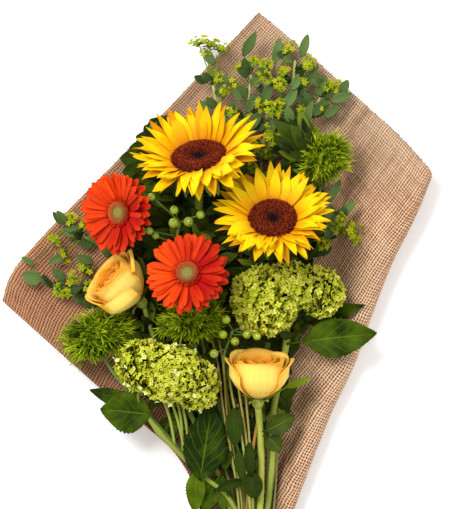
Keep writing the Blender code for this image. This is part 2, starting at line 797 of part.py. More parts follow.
def hydrangea_head(name, lobes, count, seed, hole):
    """Lobes under one skin: each floret is a low middle with its petals raised round it."""
    rng = random.Random(seed)
    lobes = [(np.array(c, float), np.array(r, float)) for c, r in lobes]
    middle = np.mean([c for c, _ in lobes], axis=0)
    many = even_ways(FLORET_CHOICES)
    skin = np.array([middle + way * reach_of(way, middle, lobes) for way in many])
    chosen = [0]
    away = np.linalg.norm(skin - skin[0], axis=1)
    while len(chosen) < count:
        chosen.append(int(away.argmax()))
        away = np.minimum(away, np.linalg.norm(skin - skin[chosen[-1]], axis=1))
    work = skin_over(many[chosen])
    place = work.verts.layers.int["place"]
    hearts = set(work.verts)
    bmesh.ops.subdivide_edges(work, edges=work.edges[:], cuts=1, use_grid_fill=True)
    for vert in work.verts:
        if vert in hearts:
            spot = skin[chosen[vert[place]]]
            vert.co = spot - unit(spot - middle) * FLORET_RISE * 0.5
        else:
            way = unit(vert.co)
            reach = reach_of(way, middle, lobes) + FLORET_RISE * rng.uniform(0.5, 1.3)
            vert.co = middle + way * reach
    node(name + "_head", "floret green", [closed(work)], holes=[hole])


def green_trick(name, centre, radii, turn, level, seed, count=48, way=()):
    """A dense head of needles, each rising from its own patch of the core."""
    rng = random.Random(seed)
    c, s = math.cos(turn), math.sin(turn)
    swing = np.array([[c, -s, 0], [s, c, 0], [0, 0, 1]])
    core = np.multiply(radii, CORE_SHARE)
    work = skin_over(even_ways(count))
    for vert in work.verts:
        vert.co = swing @ (np.array(vert.co) * core) + np.asarray(centre)
    for tip in bmesh.ops.poke(work, faces=work.faces[:])["verts"]:
        middle = np.array(tip.co)
        a, b, d = (np.array(edge.other_vert(tip).co) for edge in tip.link_edges)
        out = unit(np.cross(b - a, d - a))
        out = out * np.sign(out.dot(middle - np.asarray(centre)))
        jitter = np.array([rng.uniform(-0.16, 0.16) for _ in range(3)])
        length = NEEDLE_SHARE * float(np.mean(radii)) * rng.uniform(0.85, 1.25)
        tip.co = middle + unit(out + jitter) * length
    start = np.asarray(centre, float) - np.array([0, 0.30, 0.40]) * radii
    path = stem_path(start, (0.0, -0.75, -0.65), level, name, way=way, lead=16)
    node(name, "fuzzy green", [closed(work), tube(path, PETIOLE, 4)])


# Sprays.


def hypericum(name, route, berries, level):
    """A stalk with side stalks to its berries, each given by its centre and radius."""
    path = stem_path(route[0], (0, -1, -0.4), level, name, way=route[1:], lead=0, count=9)
    fine = curve_through(path, 90)
    solids = [tube(path, BERRY_STALK, 3)]
    for x, y, z, radius in berries:
        centre = np.array([x, y, z])
        joint = nearest(fine, centre - np.array([0, 14, 8]))
        solids.append(tube([joint, centre], SIDE_STALK, 3))
        solids.append(ball(centre, (radius * 0.95, radius, radius * 1.05), 6, 3))
    node(name, "berry green", solids)


def bupleurum(name, route, leaves, umbels, seed):
    """A thin leafy spray: route is its stem from the tip down to where it runs under the heads."""
    rng = random.Random(seed)
    path = stem_path(route[0], (0, -1, 0), SPRAY_LEVEL, name, way=route[1:], lead=0, count=9)
    fine = curve_through(path, 120)
    solids = [tube(path, SPRAY_STEM, 3)]
    for x, y, z, tip_x, tip_y, width in leaves:
        base = np.array([x, y, z])
        joint = nearest(fine, base - np.array([0, 5, 2]))
        tip = np.array([tip_x, tip_y, z + rng.uniform(1, 5)])
        solids += stalked_leaf(joint, base, tip, width, shares=SMALL_LEAF_SHARES, columns=2)
    for x, y, z, size in umbels:
        place = np.array([x, y, z])
        joint = nearest(fine, place - np.array([0, 16, 6]))
        solids.append(tube([joint, place], SIDE_STALK, 3))
        solids.append(star(place, (0, 0, 1), size, 3.0, 2.4, 5, rng.uniform(0, 1)))
    node(name, "spray green", solids)


# Everything in its place.

STEM_WAYS = {
    "sunflower_1": ((-30, 70, 26), (-8, -20, 14.5), (9, -110, 14.5)),
    "sunflower_2": ((47, 49, 35), (46, 27, 20), (45, 4, 14.5), (40, -100, 14.5)),
    "gerbera_1": ((-92, 60, 36), (-72, 10, 16), (-36, -90, 14.5)),
    "gerbera_2": ((-36, 18, 52), (-34, 11, 30), (-27, -25, 24), (-8, -100, 24)),
    "rose_1": ((-74, -22, 36), (-62, -50, 25), (-32, -120, 24)),
    "rose_2": ((34, -120, 41), (36, -150, 36)),
    "hydrangea_1": ((61, -48, 30), (56, -74, 25), (49, -104, 24), (47, -166, 24)),
    "hydrangea_2": ((-76, -119, 42), (-62, -136, 40), (-27, -171, 36)),
}


def sunflowers():
    first = Frame((-26.5, 143, 92), facing(57, 101))
    sunflower("sunflower_1", first, 28.5, 38, 15.5, 18, 26, 12)
    second = Frame((47.5, 81, 92), facing(39, 90))
    sunflower("sunflower_2", second, 25.0, 36, 15.0, 14, 4, 23)


def gerberas():
    first = Frame((-107.5, 89, 84), facing(33, 180))
    gerbera("gerbera_1", first, 42, LOW_LEVEL, 5)
    second = Frame((-39, 29, 104), facing(22, 110))
    gerbera("gerbera_2", second, 42.5, MIDDLE_LEVEL, 6)


def roses():
    first = Frame((-89, -2, 48), facing(58, 141))
    rose_bloom("rose_1", first, 30, 52, 31)
    rose_stem("rose_1", first, MIDDLE_LEVEL, ())
    second = Frame((33, -96, 55), facing(70, 88))
    rose_bloom("rose_2", second, 32, 50, 32)
    leaflets = (((41, -131, 42), (70, -115, 45), 22), ((43, -136, 41), (56, -151, 43), 18))
    rose_stem("rose_2", second, HIGH_LEVEL, leaflets, ROSE_STEM_THICK)


def hydrangeas():
    lobes = (((40, 0, 52), (34, 34, 24)), ((66, 14, 46), (28, 24, 22)), ((96, 8, 46), (22, 25, 18)))
    path = stem_path((60, -2, 42), (0.05, -0.7, -0.7), MIDDLE_LEVEL, "hydrangea_1",
                     way=STEM_WAYS["hydrangea_1"], lead=8)
    hole = tube([path[0] + (path[0] - path[1]) * 0.04, *path[1:3]], HYDRANGEA_STEM + GAP, 8)
    hydrangea_head("hydrangea_1", lobes, 88, 41, hole)
    green = [tube(path, HYDRANGEA_STEM, 6)]
    leaves = (((62, -44, 33), (79, -41, 37), (151, -33, 43), 40, 0.12),
              ((62, -44, 31), (80, -23, 16), (139, -5, 39), 20, 0.02))
    for joint, base, tip, width, arch in leaves:
        green += stalked_leaf(joint, base, tip, width, arch=arch, wave=1.5)
    node("hydrangea_1_stem", "dark leaf", green)

    lobes = (((-81, -65, 58), (29, 26, 22)), ((-52, -74, 61), (34, 29, 24)),
             ((-28, -84, 56), (22, 26, 20)))
    start = np.array([-84.0, -107, 40])
    path = stem_path(start, (0.5, -0.8, -0.1), HIGH_LEVEL, "hydrangea_2",
                     way=STEM_WAYS["hydrangea_2"], lead=0, count=9)
    green = [tube(path, 3.1, 6)]
    for top, foot in (((-58, -88, 44), (-39, -158, 37)), ((-44, -98, 39), (-36, -161, 37))):
        green.append(tube([top, np.add(top, foot) / 2 + (2, 0, 0), foot], PETIOLE, 4))
    hole = tube([(-59.2, -84.5, 44.4), (-58, -88, 44), (-46.5, -123, 40.5)], PETIOLE + 1.5 * GAP, 7)
    hydrangea_head("hydrangea_2", lobes, 90, 42, hole)
    leaves = (((-76, -114, 37), (-123, -109, 34), 42), ((-90, -104, 31), (-135, -90, 29), 18),
              ((-23, -176, 40), (-13, -107, 41), 38), ((-30, -172, 38), (-33, -207, 34), 14))
    for base, tip, width in leaves:
        joint = nearest(curve_through(path, 60), base)
        green += stalked_leaf(joint, base, tip, width, arch=0.08, wave=1.5)
    node("hydrangea_2_stem", "dark leaf", green)


def green_tricks():
    green_trick("green_trick_1", (98, 143, 42), (31, 25, 24), 0.1, LOW_LEVEL, 51,
                way=((86, 60, 16), (66, -40, 14.5)))
    green_trick("green_trick_2", (-132, -34, 38), (42, 27, 22), 0.35, MIDDLE_LEVEL, 52, 54,
                way=((-108, -76, 24), (-70, -122, 24)))
    green_trick("green_trick_3", (-34, -18, 57), (35, 26, 21), 0.2, HIGH_LEVEL, 53, 50,
                way=((-26, -60, 33), (-8, -120, 32.5)))


def hypericums():
    hypericum("hypericum_1", ((-45, 78, 60), (-48, 50, 45), (-57, 20, 26), (-28, -90, 24)),
              ((-50.5, 90, 84, 4.5), (-51, 77, 82, 5.5), (-36, 78, 84, 5.3), (-24, 85, 84, 4.5),
               (-73, 103, 78, 4.0), (-82, 69, 74, 3.7), (-75, 69, 77, 3.8), (-69, 64, 74, 3.6)),
              MIDDLE_LEVEL)
    hypericum("hypericum_2", ((8, -30, 60), (-1, -58, 38), (2, -96, 33)),
              ((1, -19, 72, 4.5), (18, -27, 74, 3.8), (-2, -34, 70, 4.5), (22, -34, 74, 4.4),
               (10, -41, 74, 4.5), (32, -36, 78, 4.0), (-11, -53, 84, 4.6)),
              HIGH_LEVEL)


def sprays():
    bupleurum("bupleurum_1", ((-12, 215, 20), (-8, 190, 10), (0, 150, 6), (6, 40, SPRAY_LEVEL)),
              ((-12, 236, 24, -20, 250, 9),),
              ((-15, 254, 26, 9), (-9, 221, 22, 8), (8, 216, 22, 7)), 61)
    bupleurum("bupleurum_2", ((26, 226, 20), (22, 200, 10), (20, 150, 6), (16, 40, SPRAY_LEVEL)),
              ((18, 244, 22, 31, 268, 10), (22, 170, 16, 36, 188, 11), (16, 199, 20, 7, 213, 7.5),
               (21, 188, 14, 34, 206, 11)),
              ((14, 231, 22, 6), (30, 238, 24, 7)), 62)
    bupleurum("bupleurum_3", ((47, 222, 20), (44, 200, 10), (38, 150, 6), (27, 40, SPRAY_LEVEL)),
              ((38, 197, 22, 47, 218, 10), (42, 165, 22, 51, 182, 9), (50, 236, 24, 55, 262, 10)),
              ((47, 190, 28, 9), (47, 160, 34, 8), (42, 234, 26, 7)), 63)
    bupleurum("bupleurum_4", ((70, 240, 22), (68, 212, 12), (62, 150, 6), (38, 40, SPRAY_LEVEL)),
              ((76, 243, 24, 83, 266, 9), (60, 192, 20, 72, 214, 10), (66, 210, 24, 78, 228, 9),
               (66, 177, 20, 62, 194, 10)),
              ((64, 250, 26, 8), (60, 229, 22, 7)), 64)
    bupleurum("bupleurum_5", ((100, 214, 26), (90, 190, 20), (78, 158, 8), (50, 40, SPRAY_LEVEL)),
              ((80, 212, 26, 93, 236, 9), (92, 204, 30, 101, 225, 9), (116, 207, 32, 123, 220, 9),
               (106, 199, 34, 127, 206, 9), (88, 184, 26, 104, 203, 10), (99, 183, 30, 115, 195, 9),
               (76, 166, 22, 88, 200, 9)),
              ((109, 214, 34, 7),), 65)
    bupleurum("bupleurum_6", ((-158, 72, 16), (-136, 64, 8), (-90, 20, SPRAY_LEVEL)),
              ((-160, 70, 18, -145, 73, 6), (-162, 44, 14, -177, 37, 8), (-192, 36, 14, -204, 43, 6)),
              ((-155, 80, 20, 7), (-170, 62, 20, 7), (-160, 46, 16, 8)), 66)
    bupleurum("bupleurum_7", ((-172, 12, 12), (-154, 4, 8), (-128, -6, 5.4), (-60, -90, SPRAY_LEVEL)),
              ((-184, 20, 14, -203, 25, 15), (-160, 20, 14, -173, 31, 10), (-132, 38, 16, -150, 44, 9)),
              ((-161, 10, 16, 10), (-141, 30, 18, 9)), 67)
    bupleurum("bupleurum_8", ((112, 82, 24), (98, 62, 10), (78, 20, SPRAY_LEVEL),
                              (58, -60, SPRAY_LEVEL)),
              ((104, 98, 24, 115, 120, 9), (118, 88, 27, 131, 98, 9), (100, 62, 22, 119, 88, 14)),
              ((126, 68, 32, 10),), 68)


def leafy_stems():
    way = ((-50, 130, 14), (-50, 60, 24), (-36, -25, 24), (-17, -90, 24))
    path = stem_path((-62, 164, 13), (0, -1, 0), MIDDLE_LEVEL, "upper_leaves", way=way, lead=0,
                     count=10)
    fine = curve_through(path, 80)
    green = [tube(path, 1.7, 5)]
    leaves = (((-56, 162, 14), (-76, 186, 17), 24), ((-58, 140, 15), (-108, 146, 18), 27),
              ((-54, 152, 13), (-98, 168, 14), 18))
    for base, tip, width in leaves:
        green += stalked_leaf(nearest(fine, base), base, tip, width, wave=1.4)
    node("upper_leaves", "dark leaf", green)

    path = stem_path((12, -104, 36), (0, -1, 0), HIGH_LEVEL, "leafy_stem",
                     way=((20, -140, 34),), lead=0, count=8)
    fine = curve_through(path, 80)
    green = [tube(path, 1.5, 5)]
    leaves = (((9, -112, 38), (11, -146, 42), 15), ((24, -142, 40), (25, -175, 42), 9),
              ((24, -172, 42), (31, -198, 44), 20), ((17, -180, 40), (-9, -190, 43), 10))
    for base, tip, width in leaves:
        green += stalked_leaf(nearest(fine, base), base, tip, width, wave=0.6)
    node("leafy_stem", "dark leaf", green)


def jute_tie():
    """Turns of twine round the gathered wrap and stems, ending in a knot with two short tails."""
    steps = 13
    path = []
    for k in range(steps * TWINE_TURNS + 1):
        turn = math.tau * k / steps + math.pi / 2
        along = (k / (steps * TWINE_TURNS) - 0.5) * (TWINE_TURNS * TWINE_RADIUS * 2.5)
        x = RING_X + RING[0] * math.cos(turn)
        z = RING_Z + RING[1] * math.sin(turn)
        path.append((x, TIE_Y + along, z))
    knot = np.array([RING_X, TIE_Y, RING_Z + RING[1] + 1.0])
    solids = [tube(path, TWINE_RADIUS, 4), ball(knot, (4.2, 5.5, 3.0), 6, 4)]
    for side in (-1, 1):
        tail = [knot, knot + (side * 10, -6, 1), knot + (side * 19, -17, -2),
                knot + (side * 21, -30, -4)]
        solids.append(tube(curve_through(tail, 4), 1.3, 4))
    node("jute_tie", "twine", solids)


def remove_everything():
    for old in list(bpy.data.objects):
        bpy.data.objects.remove(old)


def main():
    remove_everything()
    burlap_wrap()
    jute_tie()
    sunflowers()
    gerberas()
    roses()
    hydrangeas()
    green_tricks()
    hypericums()
    sprays()
    leafy_stems()


main()
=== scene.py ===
"""A mixed bouquet lying in a burlap wrap: its finished look, laid over the fixed CAD frame."""

import math
import random

import bmesh
import bpy
import numpy as np
from bpy.props import FloatProperty, FloatVectorProperty, IntProperty, PointerProperty
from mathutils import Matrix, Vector, noise


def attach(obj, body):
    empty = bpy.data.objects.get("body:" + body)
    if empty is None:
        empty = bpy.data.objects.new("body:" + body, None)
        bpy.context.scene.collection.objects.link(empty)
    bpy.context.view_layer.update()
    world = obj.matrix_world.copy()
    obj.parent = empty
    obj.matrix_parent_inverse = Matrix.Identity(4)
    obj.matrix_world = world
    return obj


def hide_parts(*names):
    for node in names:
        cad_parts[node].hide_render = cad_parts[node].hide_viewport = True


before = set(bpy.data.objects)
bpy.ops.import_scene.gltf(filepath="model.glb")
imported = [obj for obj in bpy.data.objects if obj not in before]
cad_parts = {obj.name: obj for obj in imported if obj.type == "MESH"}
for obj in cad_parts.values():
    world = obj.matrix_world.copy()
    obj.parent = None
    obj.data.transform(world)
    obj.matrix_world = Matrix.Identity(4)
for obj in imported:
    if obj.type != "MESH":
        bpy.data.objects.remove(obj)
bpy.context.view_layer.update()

bl_info = {
    "name": "Burlap bouquet",
    "version": (1, 0, 0),
    "blender": (4, 5, 0),
    "location": "3D View > Sidebar > Bouquet",
    "description": "Builds a mixed bouquet in a burlap wrap, piece by piece",
    "category": "Add Mesh",
}

# Sizes below are millimetres. Meshes are written in metres.
MM = 0.001
GOLDEN_TURN = math.pi * (3 - math.sqrt(5))

# The bundle at the tie, the levels that its stems lie at and the twine, as in the solids.
TIE_Y = -265.0
BUNDLE_X = 24.5
RING = (33.4, 20.7)
RING_X = 26.4
RING_Z = 22.35
STEM_END_Y = -318.0
FAN_Y = -209.0
FAN_SPREAD = 1.5
SPRAY_LEVEL = 5.4
LOW_LEVEL = 14.5
MIDDLE_LEVEL = 24.0
HIGH_LEVEL = 32.5
TWINE_RADIUS = 1.5
TWINE_TURNS = 2


# Plain geometry.


def unit(vector):
    """The vector, one long."""
    return np.asarray(vector, float) / max(float(np.linalg.norm(vector)), 1e-9)


def smooth(value):
    """0 below 0, 1 above 1, with a soft step between."""
    value = np.clip(value, 0.0, 1.0)
    return value * value * (3 - 2 * value)


def curve_through(points, count):
    """Points evenly spread along a smooth curve through three or more given ones."""
    points = np.asarray(points, float)
    steps = np.linalg.norm(np.diff(points, axis=0), axis=1)
    along = np.concatenate([[0], np.cumsum(steps)])
    slopes = np.gradient(points, along, axis=0)
    result = []
    for value in np.linspace(0, along[-1], count):
        k = min(int(np.searchsorted(along, value, side="right")) - 1, len(points) - 2)
        h = steps[k]
        t = (value - along[k]) / h
        result.append(
            (2 * t**3 - 3 * t**2 + 1) * points[k] + (t**3 - 2 * t**2 + t) * h * slopes[k]
            + (3 * t**2 - 2 * t**3) * points[k + 1] + (t**3 - t**2) * h * slopes[k + 1]
        )
    return np.array(result)


class Frame:
    """A place with axes: x and y across, z the way that the head faces."""

    def __init__(self, origin, toward, side=None):
        self.origin = np.asarray(origin, float)
        self.z = unit(toward)
        guide = np.array([1.0, 0.0, 0.0]) if side is None else unit(side)
        self.y = unit(np.cross(self.z, guide))
        self.x = np.cross(self.y, self.z)

    def at(self, x, y, z):
        return self.origin + self.x * x + self.y * y + self.z * z

    def out(self, angle):
        """The direction across the head at an angle."""
        return self.x * math.cos(angle) + self.y * math.sin(angle)

    def place(self, points):
        """Points given in these axes, where they lie in the bouquet."""
        return self.origin + points @ np.array([self.x, self.y, self.z])


def facing(tilt, toward):
    """The direction that leans from straight up by tilt, toward an angle in the plan, both in degrees."""
    tilt, toward = math.radians(tilt), math.radians(toward)
    return np.array([math.sin(tilt) * math.cos(toward), math.sin(tilt) * math.sin(toward), math.cos(tilt)])


def scatter(rng, reach):
    """A random step of up to reach along each axis."""
    return np.array([rng.uniform(-reach, reach) for _ in range(3)])


def even_ways(count):
    """Directions spread evenly over a sphere."""
    k = np.arange(count)
    z = 1 - 2 * (k + 0.5) / count
    flat = np.sqrt(1 - z * z)
    return np.stack([flat * np.cos(k * GOLDEN_TURN), flat * np.sin(k * GOLDEN_TURN), z], axis=1)


def rows_of(table, value):
    """What a table of pairs gives for a value, read between its rows."""
    return np.interp(value, [row[0] for row in table], [row[1] for row in table])


def nearest(path, place):
    """The point of a path that lies nearest to a place."""
    return path[np.argmin(np.linalg.norm(path - place, axis=1))]


# Small meshes whose copies are shaped one by one, and the heap that gathers them.


class Stamp:
    """A small mesh with a place across (u) and along (v) for each point."""

    def __init__(self, work, u, v, wraps=False):
        uv = work.loops.layers.uv.get("UVMap") or work.loops.layers.uv.new("UVMap")
        for face in work.faces:
            most = max(u[vert.index] for vert in face.verts)
            for loop in face.loops:
                k = loop.vert.index
                turn = 1.0 if wraps and most - u[k] > 0.5 else 0.0
                loop[uv].uv = (u[k] + turn, v[k])
        self.mesh = bpy.data.meshes.new("stamp")
        work.to_mesh(self.mesh)
        work.free()
        self.mesh.attributes.new("tone", "FLOAT", "POINT")
        self.count = len(self.mesh.vertices)
        self.u, self.v = np.asarray(u, float) * 2 - 1, np.asarray(v, float)
        self.points = np.empty(self.count * 3)
        self.mesh.vertices.foreach_get("co", self.points)
        self.points = self.points.reshape(-1, 3)


def spots_of(work):
    """Where a mesh's points are, in their order."""
    work.verts.index_update()
    return np.array([vert.co[:] for vert in work.verts])


def grid_stamp(across, along, pointed=False):
    """A flat strip, whose far end can be one point."""
    work = bmesh.new()
    bmesh.ops.create_grid(work, x_segments=across, y_segments=along, size=0.5)
    if pointed:
        end = [vert for vert in work.verts if vert.co.y > 0.4999]
        bmesh.ops.pointmerge(work, verts=end, merge_co=(0, 0.5, 0))
    spots = spots_of(work)
    return Stamp(work, spots[:, 0] + 0.5, spots[:, 1] + 0.5)


def leaf_stamp(across, along):
    """A flat strip whose far end is one point."""
    return grid_stamp(across, along, pointed=True)


def rod_stamp(sides, rows):
    """A closed round rod: rings of points between two poles."""
    work = bmesh.new()
    bmesh.ops.create_circle(work, segments=sides, radius=1.0)
    first = last = work.verts[:]
    edges = work.edges[:]
    for row in range(1, rows + 1):
        grown = bmesh.ops.extrude_edge_only(work, edges=edges)["geom"]
        last = [part for part in grown if isinstance(part, bmesh.types.BMVert)]
        edges = [part for part in grown if isinstance(part, bmesh.types.BMEdge)]
        for vert in last:
            vert.co.z = row / rows
    bmesh.ops.pointmerge(work, verts=first, merge_co=(0, 0, 0))
    bmesh.ops.pointmerge(work, verts=last, merge_co=(0, 0, 1))
    bmesh.ops.recalc_face_normals(work, faces=work.faces)
    spots = spots_of(work)
    turn = (np.arctan2(spots[:, 1], spots[:, 0]) / math.tau) % 1.0
    stamp = Stamp(work, turn, spots[:, 2], wraps=True)
    stamp.rows = rows
    return stamp


def drop_stamp(sides, rings):
    """A ball with its poles up and down."""
    work = bmesh.new()
    bmesh.ops.create_uvsphere(work, u_segments=sides, v_segments=rings, radius=1.0)
    spots = spots_of(work)
    turn = (np.arctan2(spots[:, 1], spots[:, 0]) / math.tau) % 1.0
    return Stamp(work, turn, spots[:, 2] * 0.5 + 0.5, wraps=True)


def bud_stamp(subdivisions):
    """A ball of few, even faces."""
    work = bmesh.new()
    bmesh.ops.create_icosphere(work, subdivisions=subdivisions, radius=1.0)
    spots = spots_of(work)
    return Stamp(work, spots[:, 0] * 0.5 + 0.5, spots[:, 2] * 0.5 + 0.5)


def floret_stamp(petals, width, cup):
    """A little open flower of a few pointed petals, about one across, facing up."""
    petal = leaf_stamp(2, 3)
    outline = ((0, 0.25), (0.33, 0.85), (0.66, 1.0), (1.0, 0.2))
    work = bmesh.new()
    u, v = [], []
    for k in range(petals):
        angle = math.tau * k / petals
        out = (math.cos(angle), math.sin(angle), 0.0)
        points = blade(petal, (0, 0, 0), out, (0, 0, 1), 0.5, width, outline, lean=0.25, bend=-cup, cup=0.25)
        petal.mesh.vertices.foreach_set("co", points.ravel())
        work.from_mesh(petal.mesh)
        u.extend((petal.u + 1) / 2)
        v.extend(petal.v)
    work.verts.index_update()
    return Stamp(work, np.array(u), np.array(v))


class Heap:
    """Shaped copies of stamps, gathered into one mesh."""

    def __init__(self):
        self.work = bmesh.new()

    def add(self, stamp, points, tone=0.5):
        tones = np.broadcast_to(np.asarray(tone, np.float32), stamp.count)
        stamp.mesh.vertices.foreach_set("co", (np.asarray(points) * MM).ravel())
        stamp.mesh.attributes["tone"].data.foreach_set("value", np.ascontiguousarray(tones))
        self.work.from_mesh(stamp.mesh)

    def rod(self, stamp, path, radii, tone):
        """A round rod along a path, with flat ends."""
        rows = stamp.rows
        path = curve_through(path, rows + 1)
        radii = np.atleast_1d(np.asarray(radii, float))
        radii = np.interp(np.linspace(0, 1, rows + 1), np.linspace(0, 1, len(radii)), radii)
        path = np.concatenate([path[:1], path[:1], path[2:-2], path[-1:], path[-1:]])
        radii[0] = radii[-1] = 0.0
        ahead = np.gradient(path, axis=0)
        ahead[0], ahead[-1] = ahead[1], ahead[-2]
        ahead /= np.maximum(np.linalg.norm(ahead, axis=1, keepdims=True), 1e-9)
        side = np.cross(ahead, [0.0, 0.0, 1.0]) + (1e-4, 0, 0)
        side /= np.linalg.norm(side, axis=1, keepdims=True)
        over = np.cross(side, ahead)
        row = np.round(stamp.v * rows).astype(int)
        turn = stamp.u * math.pi
        ring = side[row] * np.cos(turn)[:, None] + over[row] * np.sin(turn)[:, None]
        self.add(stamp, path[row] + ring * radii[row][:, None], tone)

    def piece(self, name, finish, slot, nodes=(), thickness=0.0):
        """Writes the heap out as one named piece that stands for its CAD nodes."""
        for face in self.work.faces:
            face.smooth = True
        mesh = bpy.data.meshes.new(name)
        self.work.to_mesh(mesh)
        self.work.free()
        thing = bpy.data.objects.new(name, mesh)
        bpy.context.scene.collection.objects.link(thing)
        mesh.materials.append(finish)
        if thickness:
            wall = thing.modifiers.new("thickness", "SOLIDIFY")
            wall.thickness = thickness * MM
            wall.offset = 0.0
        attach(thing, "root")
        if nodes:
            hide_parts(*nodes)
        return thing


def blade(stamp, base, out, up, length, width, outline, lean=0.0, bend=0.0, curl=0.0, cup=0.0,
          ridges=0, ridge=0.0, wave=0.0, waves=2.0, phase=0.0, sway=0.0, twist=0.0, teeth=0, tooth=0.0, quilt=0.0):
    """Points of a thin blade that leaves its base along out, with its face towards up.

    lean, bend and curl turn it towards up: at its base, evenly along it and near its tip. cup lifts both edges,
    ridges run along it, wave ripples its edges, quilt swells it between the side veins, teeth notch its outline,
    sway bends it sideways and twist turns it about its length.
    """
    steps = 32
    share = (np.arange(steps) + 0.5) / steps
    angle = lean + bend * share + curl * share**4
    run = np.concatenate([[0], np.cumsum(np.cos(angle))]) * length / steps
    climb = np.concatenate([[0], np.cumsum(np.sin(angle))]) * length / steps
    marks = np.linspace(0, 1, steps + 1)
    u, v = stamp.u, stamp.v
    turn = lean + bend * v + curl * v**4
    out, up = np.asarray(out, float), np.asarray(up, float)
    side = np.cross(out, up)
    half = width / 2 * rows_of(outline, v)
    if teeth:
        half = half * (1 + tooth * (np.abs(((v * teeth) % 1) - 0.5) * 2 - 0.5) * np.abs(u))
    normal = up * np.cos(turn)[:, None] - out * np.sin(turn)[:, None]
    lift = half * cup * u * u
    if ridges:
        lift = lift + ridge * np.cos(math.pi * ridges * u) * np.sin(math.pi * np.clip(v, 0.02, 0.97)) ** 0.5
    if wave:
        ripple = np.sin(math.tau * waves * v + phase + 1.3 * np.sign(u))
        lift = lift + wave * ripple * np.abs(u) ** 1.5 * np.sin(math.pi * v) ** 0.5
    if quilt:
        lift = lift + quilt * np.abs(np.sin(math.pi * (9 * v - 2.2 * np.abs(u)))) * np.abs(u) ** 0.5 * (1 - u * u)
    roll = twist * v
    across = side * np.cos(roll)[:, None] + normal * np.sin(roll)[:, None]
    return (
        np.asarray(base, float) + out * np.interp(v, marks, run)[:, None]
        + up * np.interp(v, marks, climb)[:, None] + across * (u * half)[:, None]
        + normal * lift[:, None] + side * (sway * length * v * v)[:, None]
    )


# Shader maths written as Python.


class Value:
    """A number in a material; sums and products on it add Math nodes."""

    def __init__(self, finish, socket):
        self.finish, self.socket = finish, socket

    def math(self, operation, *others):
        node = self.finish.node("ShaderNodeMath", {"operation": operation}, {0: self, **dict(enumerate(others, 1))})
        return Value(self.finish, node.outputs[0])

    def __add__(self, other):
        return self.math("ADD", other)

    __radd__ = __add__

    def __sub__(self, other):
        return self.math("SUBTRACT", other)

    def __rsub__(self, other):
        node = self.finish.node("ShaderNodeMath", {"operation": "SUBTRACT"}, {0: other, 1: self})
        return Value(self.finish, node.outputs[0])

    def __mul__(self, other):
        return self.math("MULTIPLY", other)

    __rmul__ = __mul__

    def sine(self):
        return self.math("SINE")

    def size(self):
        return self.math("ABSOLUTE")

    def clipped(self):
        return self.math("MAXIMUM", 0.0).math("MINIMUM", 1.0)

    def between(self, low, high):
        """0 below low, 1 above high, with a soft step between."""
        node = self.finish.node(
            "ShaderNodeMapRange", {"interpolation_type": "SMOOTHSTEP", "clamp": True},
            {"Value": self, "From Min": low, "From Max": high, "To Min": 0.0, "To Max": 1.0},
        )
        return Value(self.finish, node.outputs[0])


def linear(colour):
    """The colour of a screen value such as (250, 200, 20), for a material."""
    parts = [c / 255 for c in colour]
    return tuple(c / 12.92 if c <= 0.04045 else ((c + 0.055) / 1.055) ** 2.4 for c in parts)


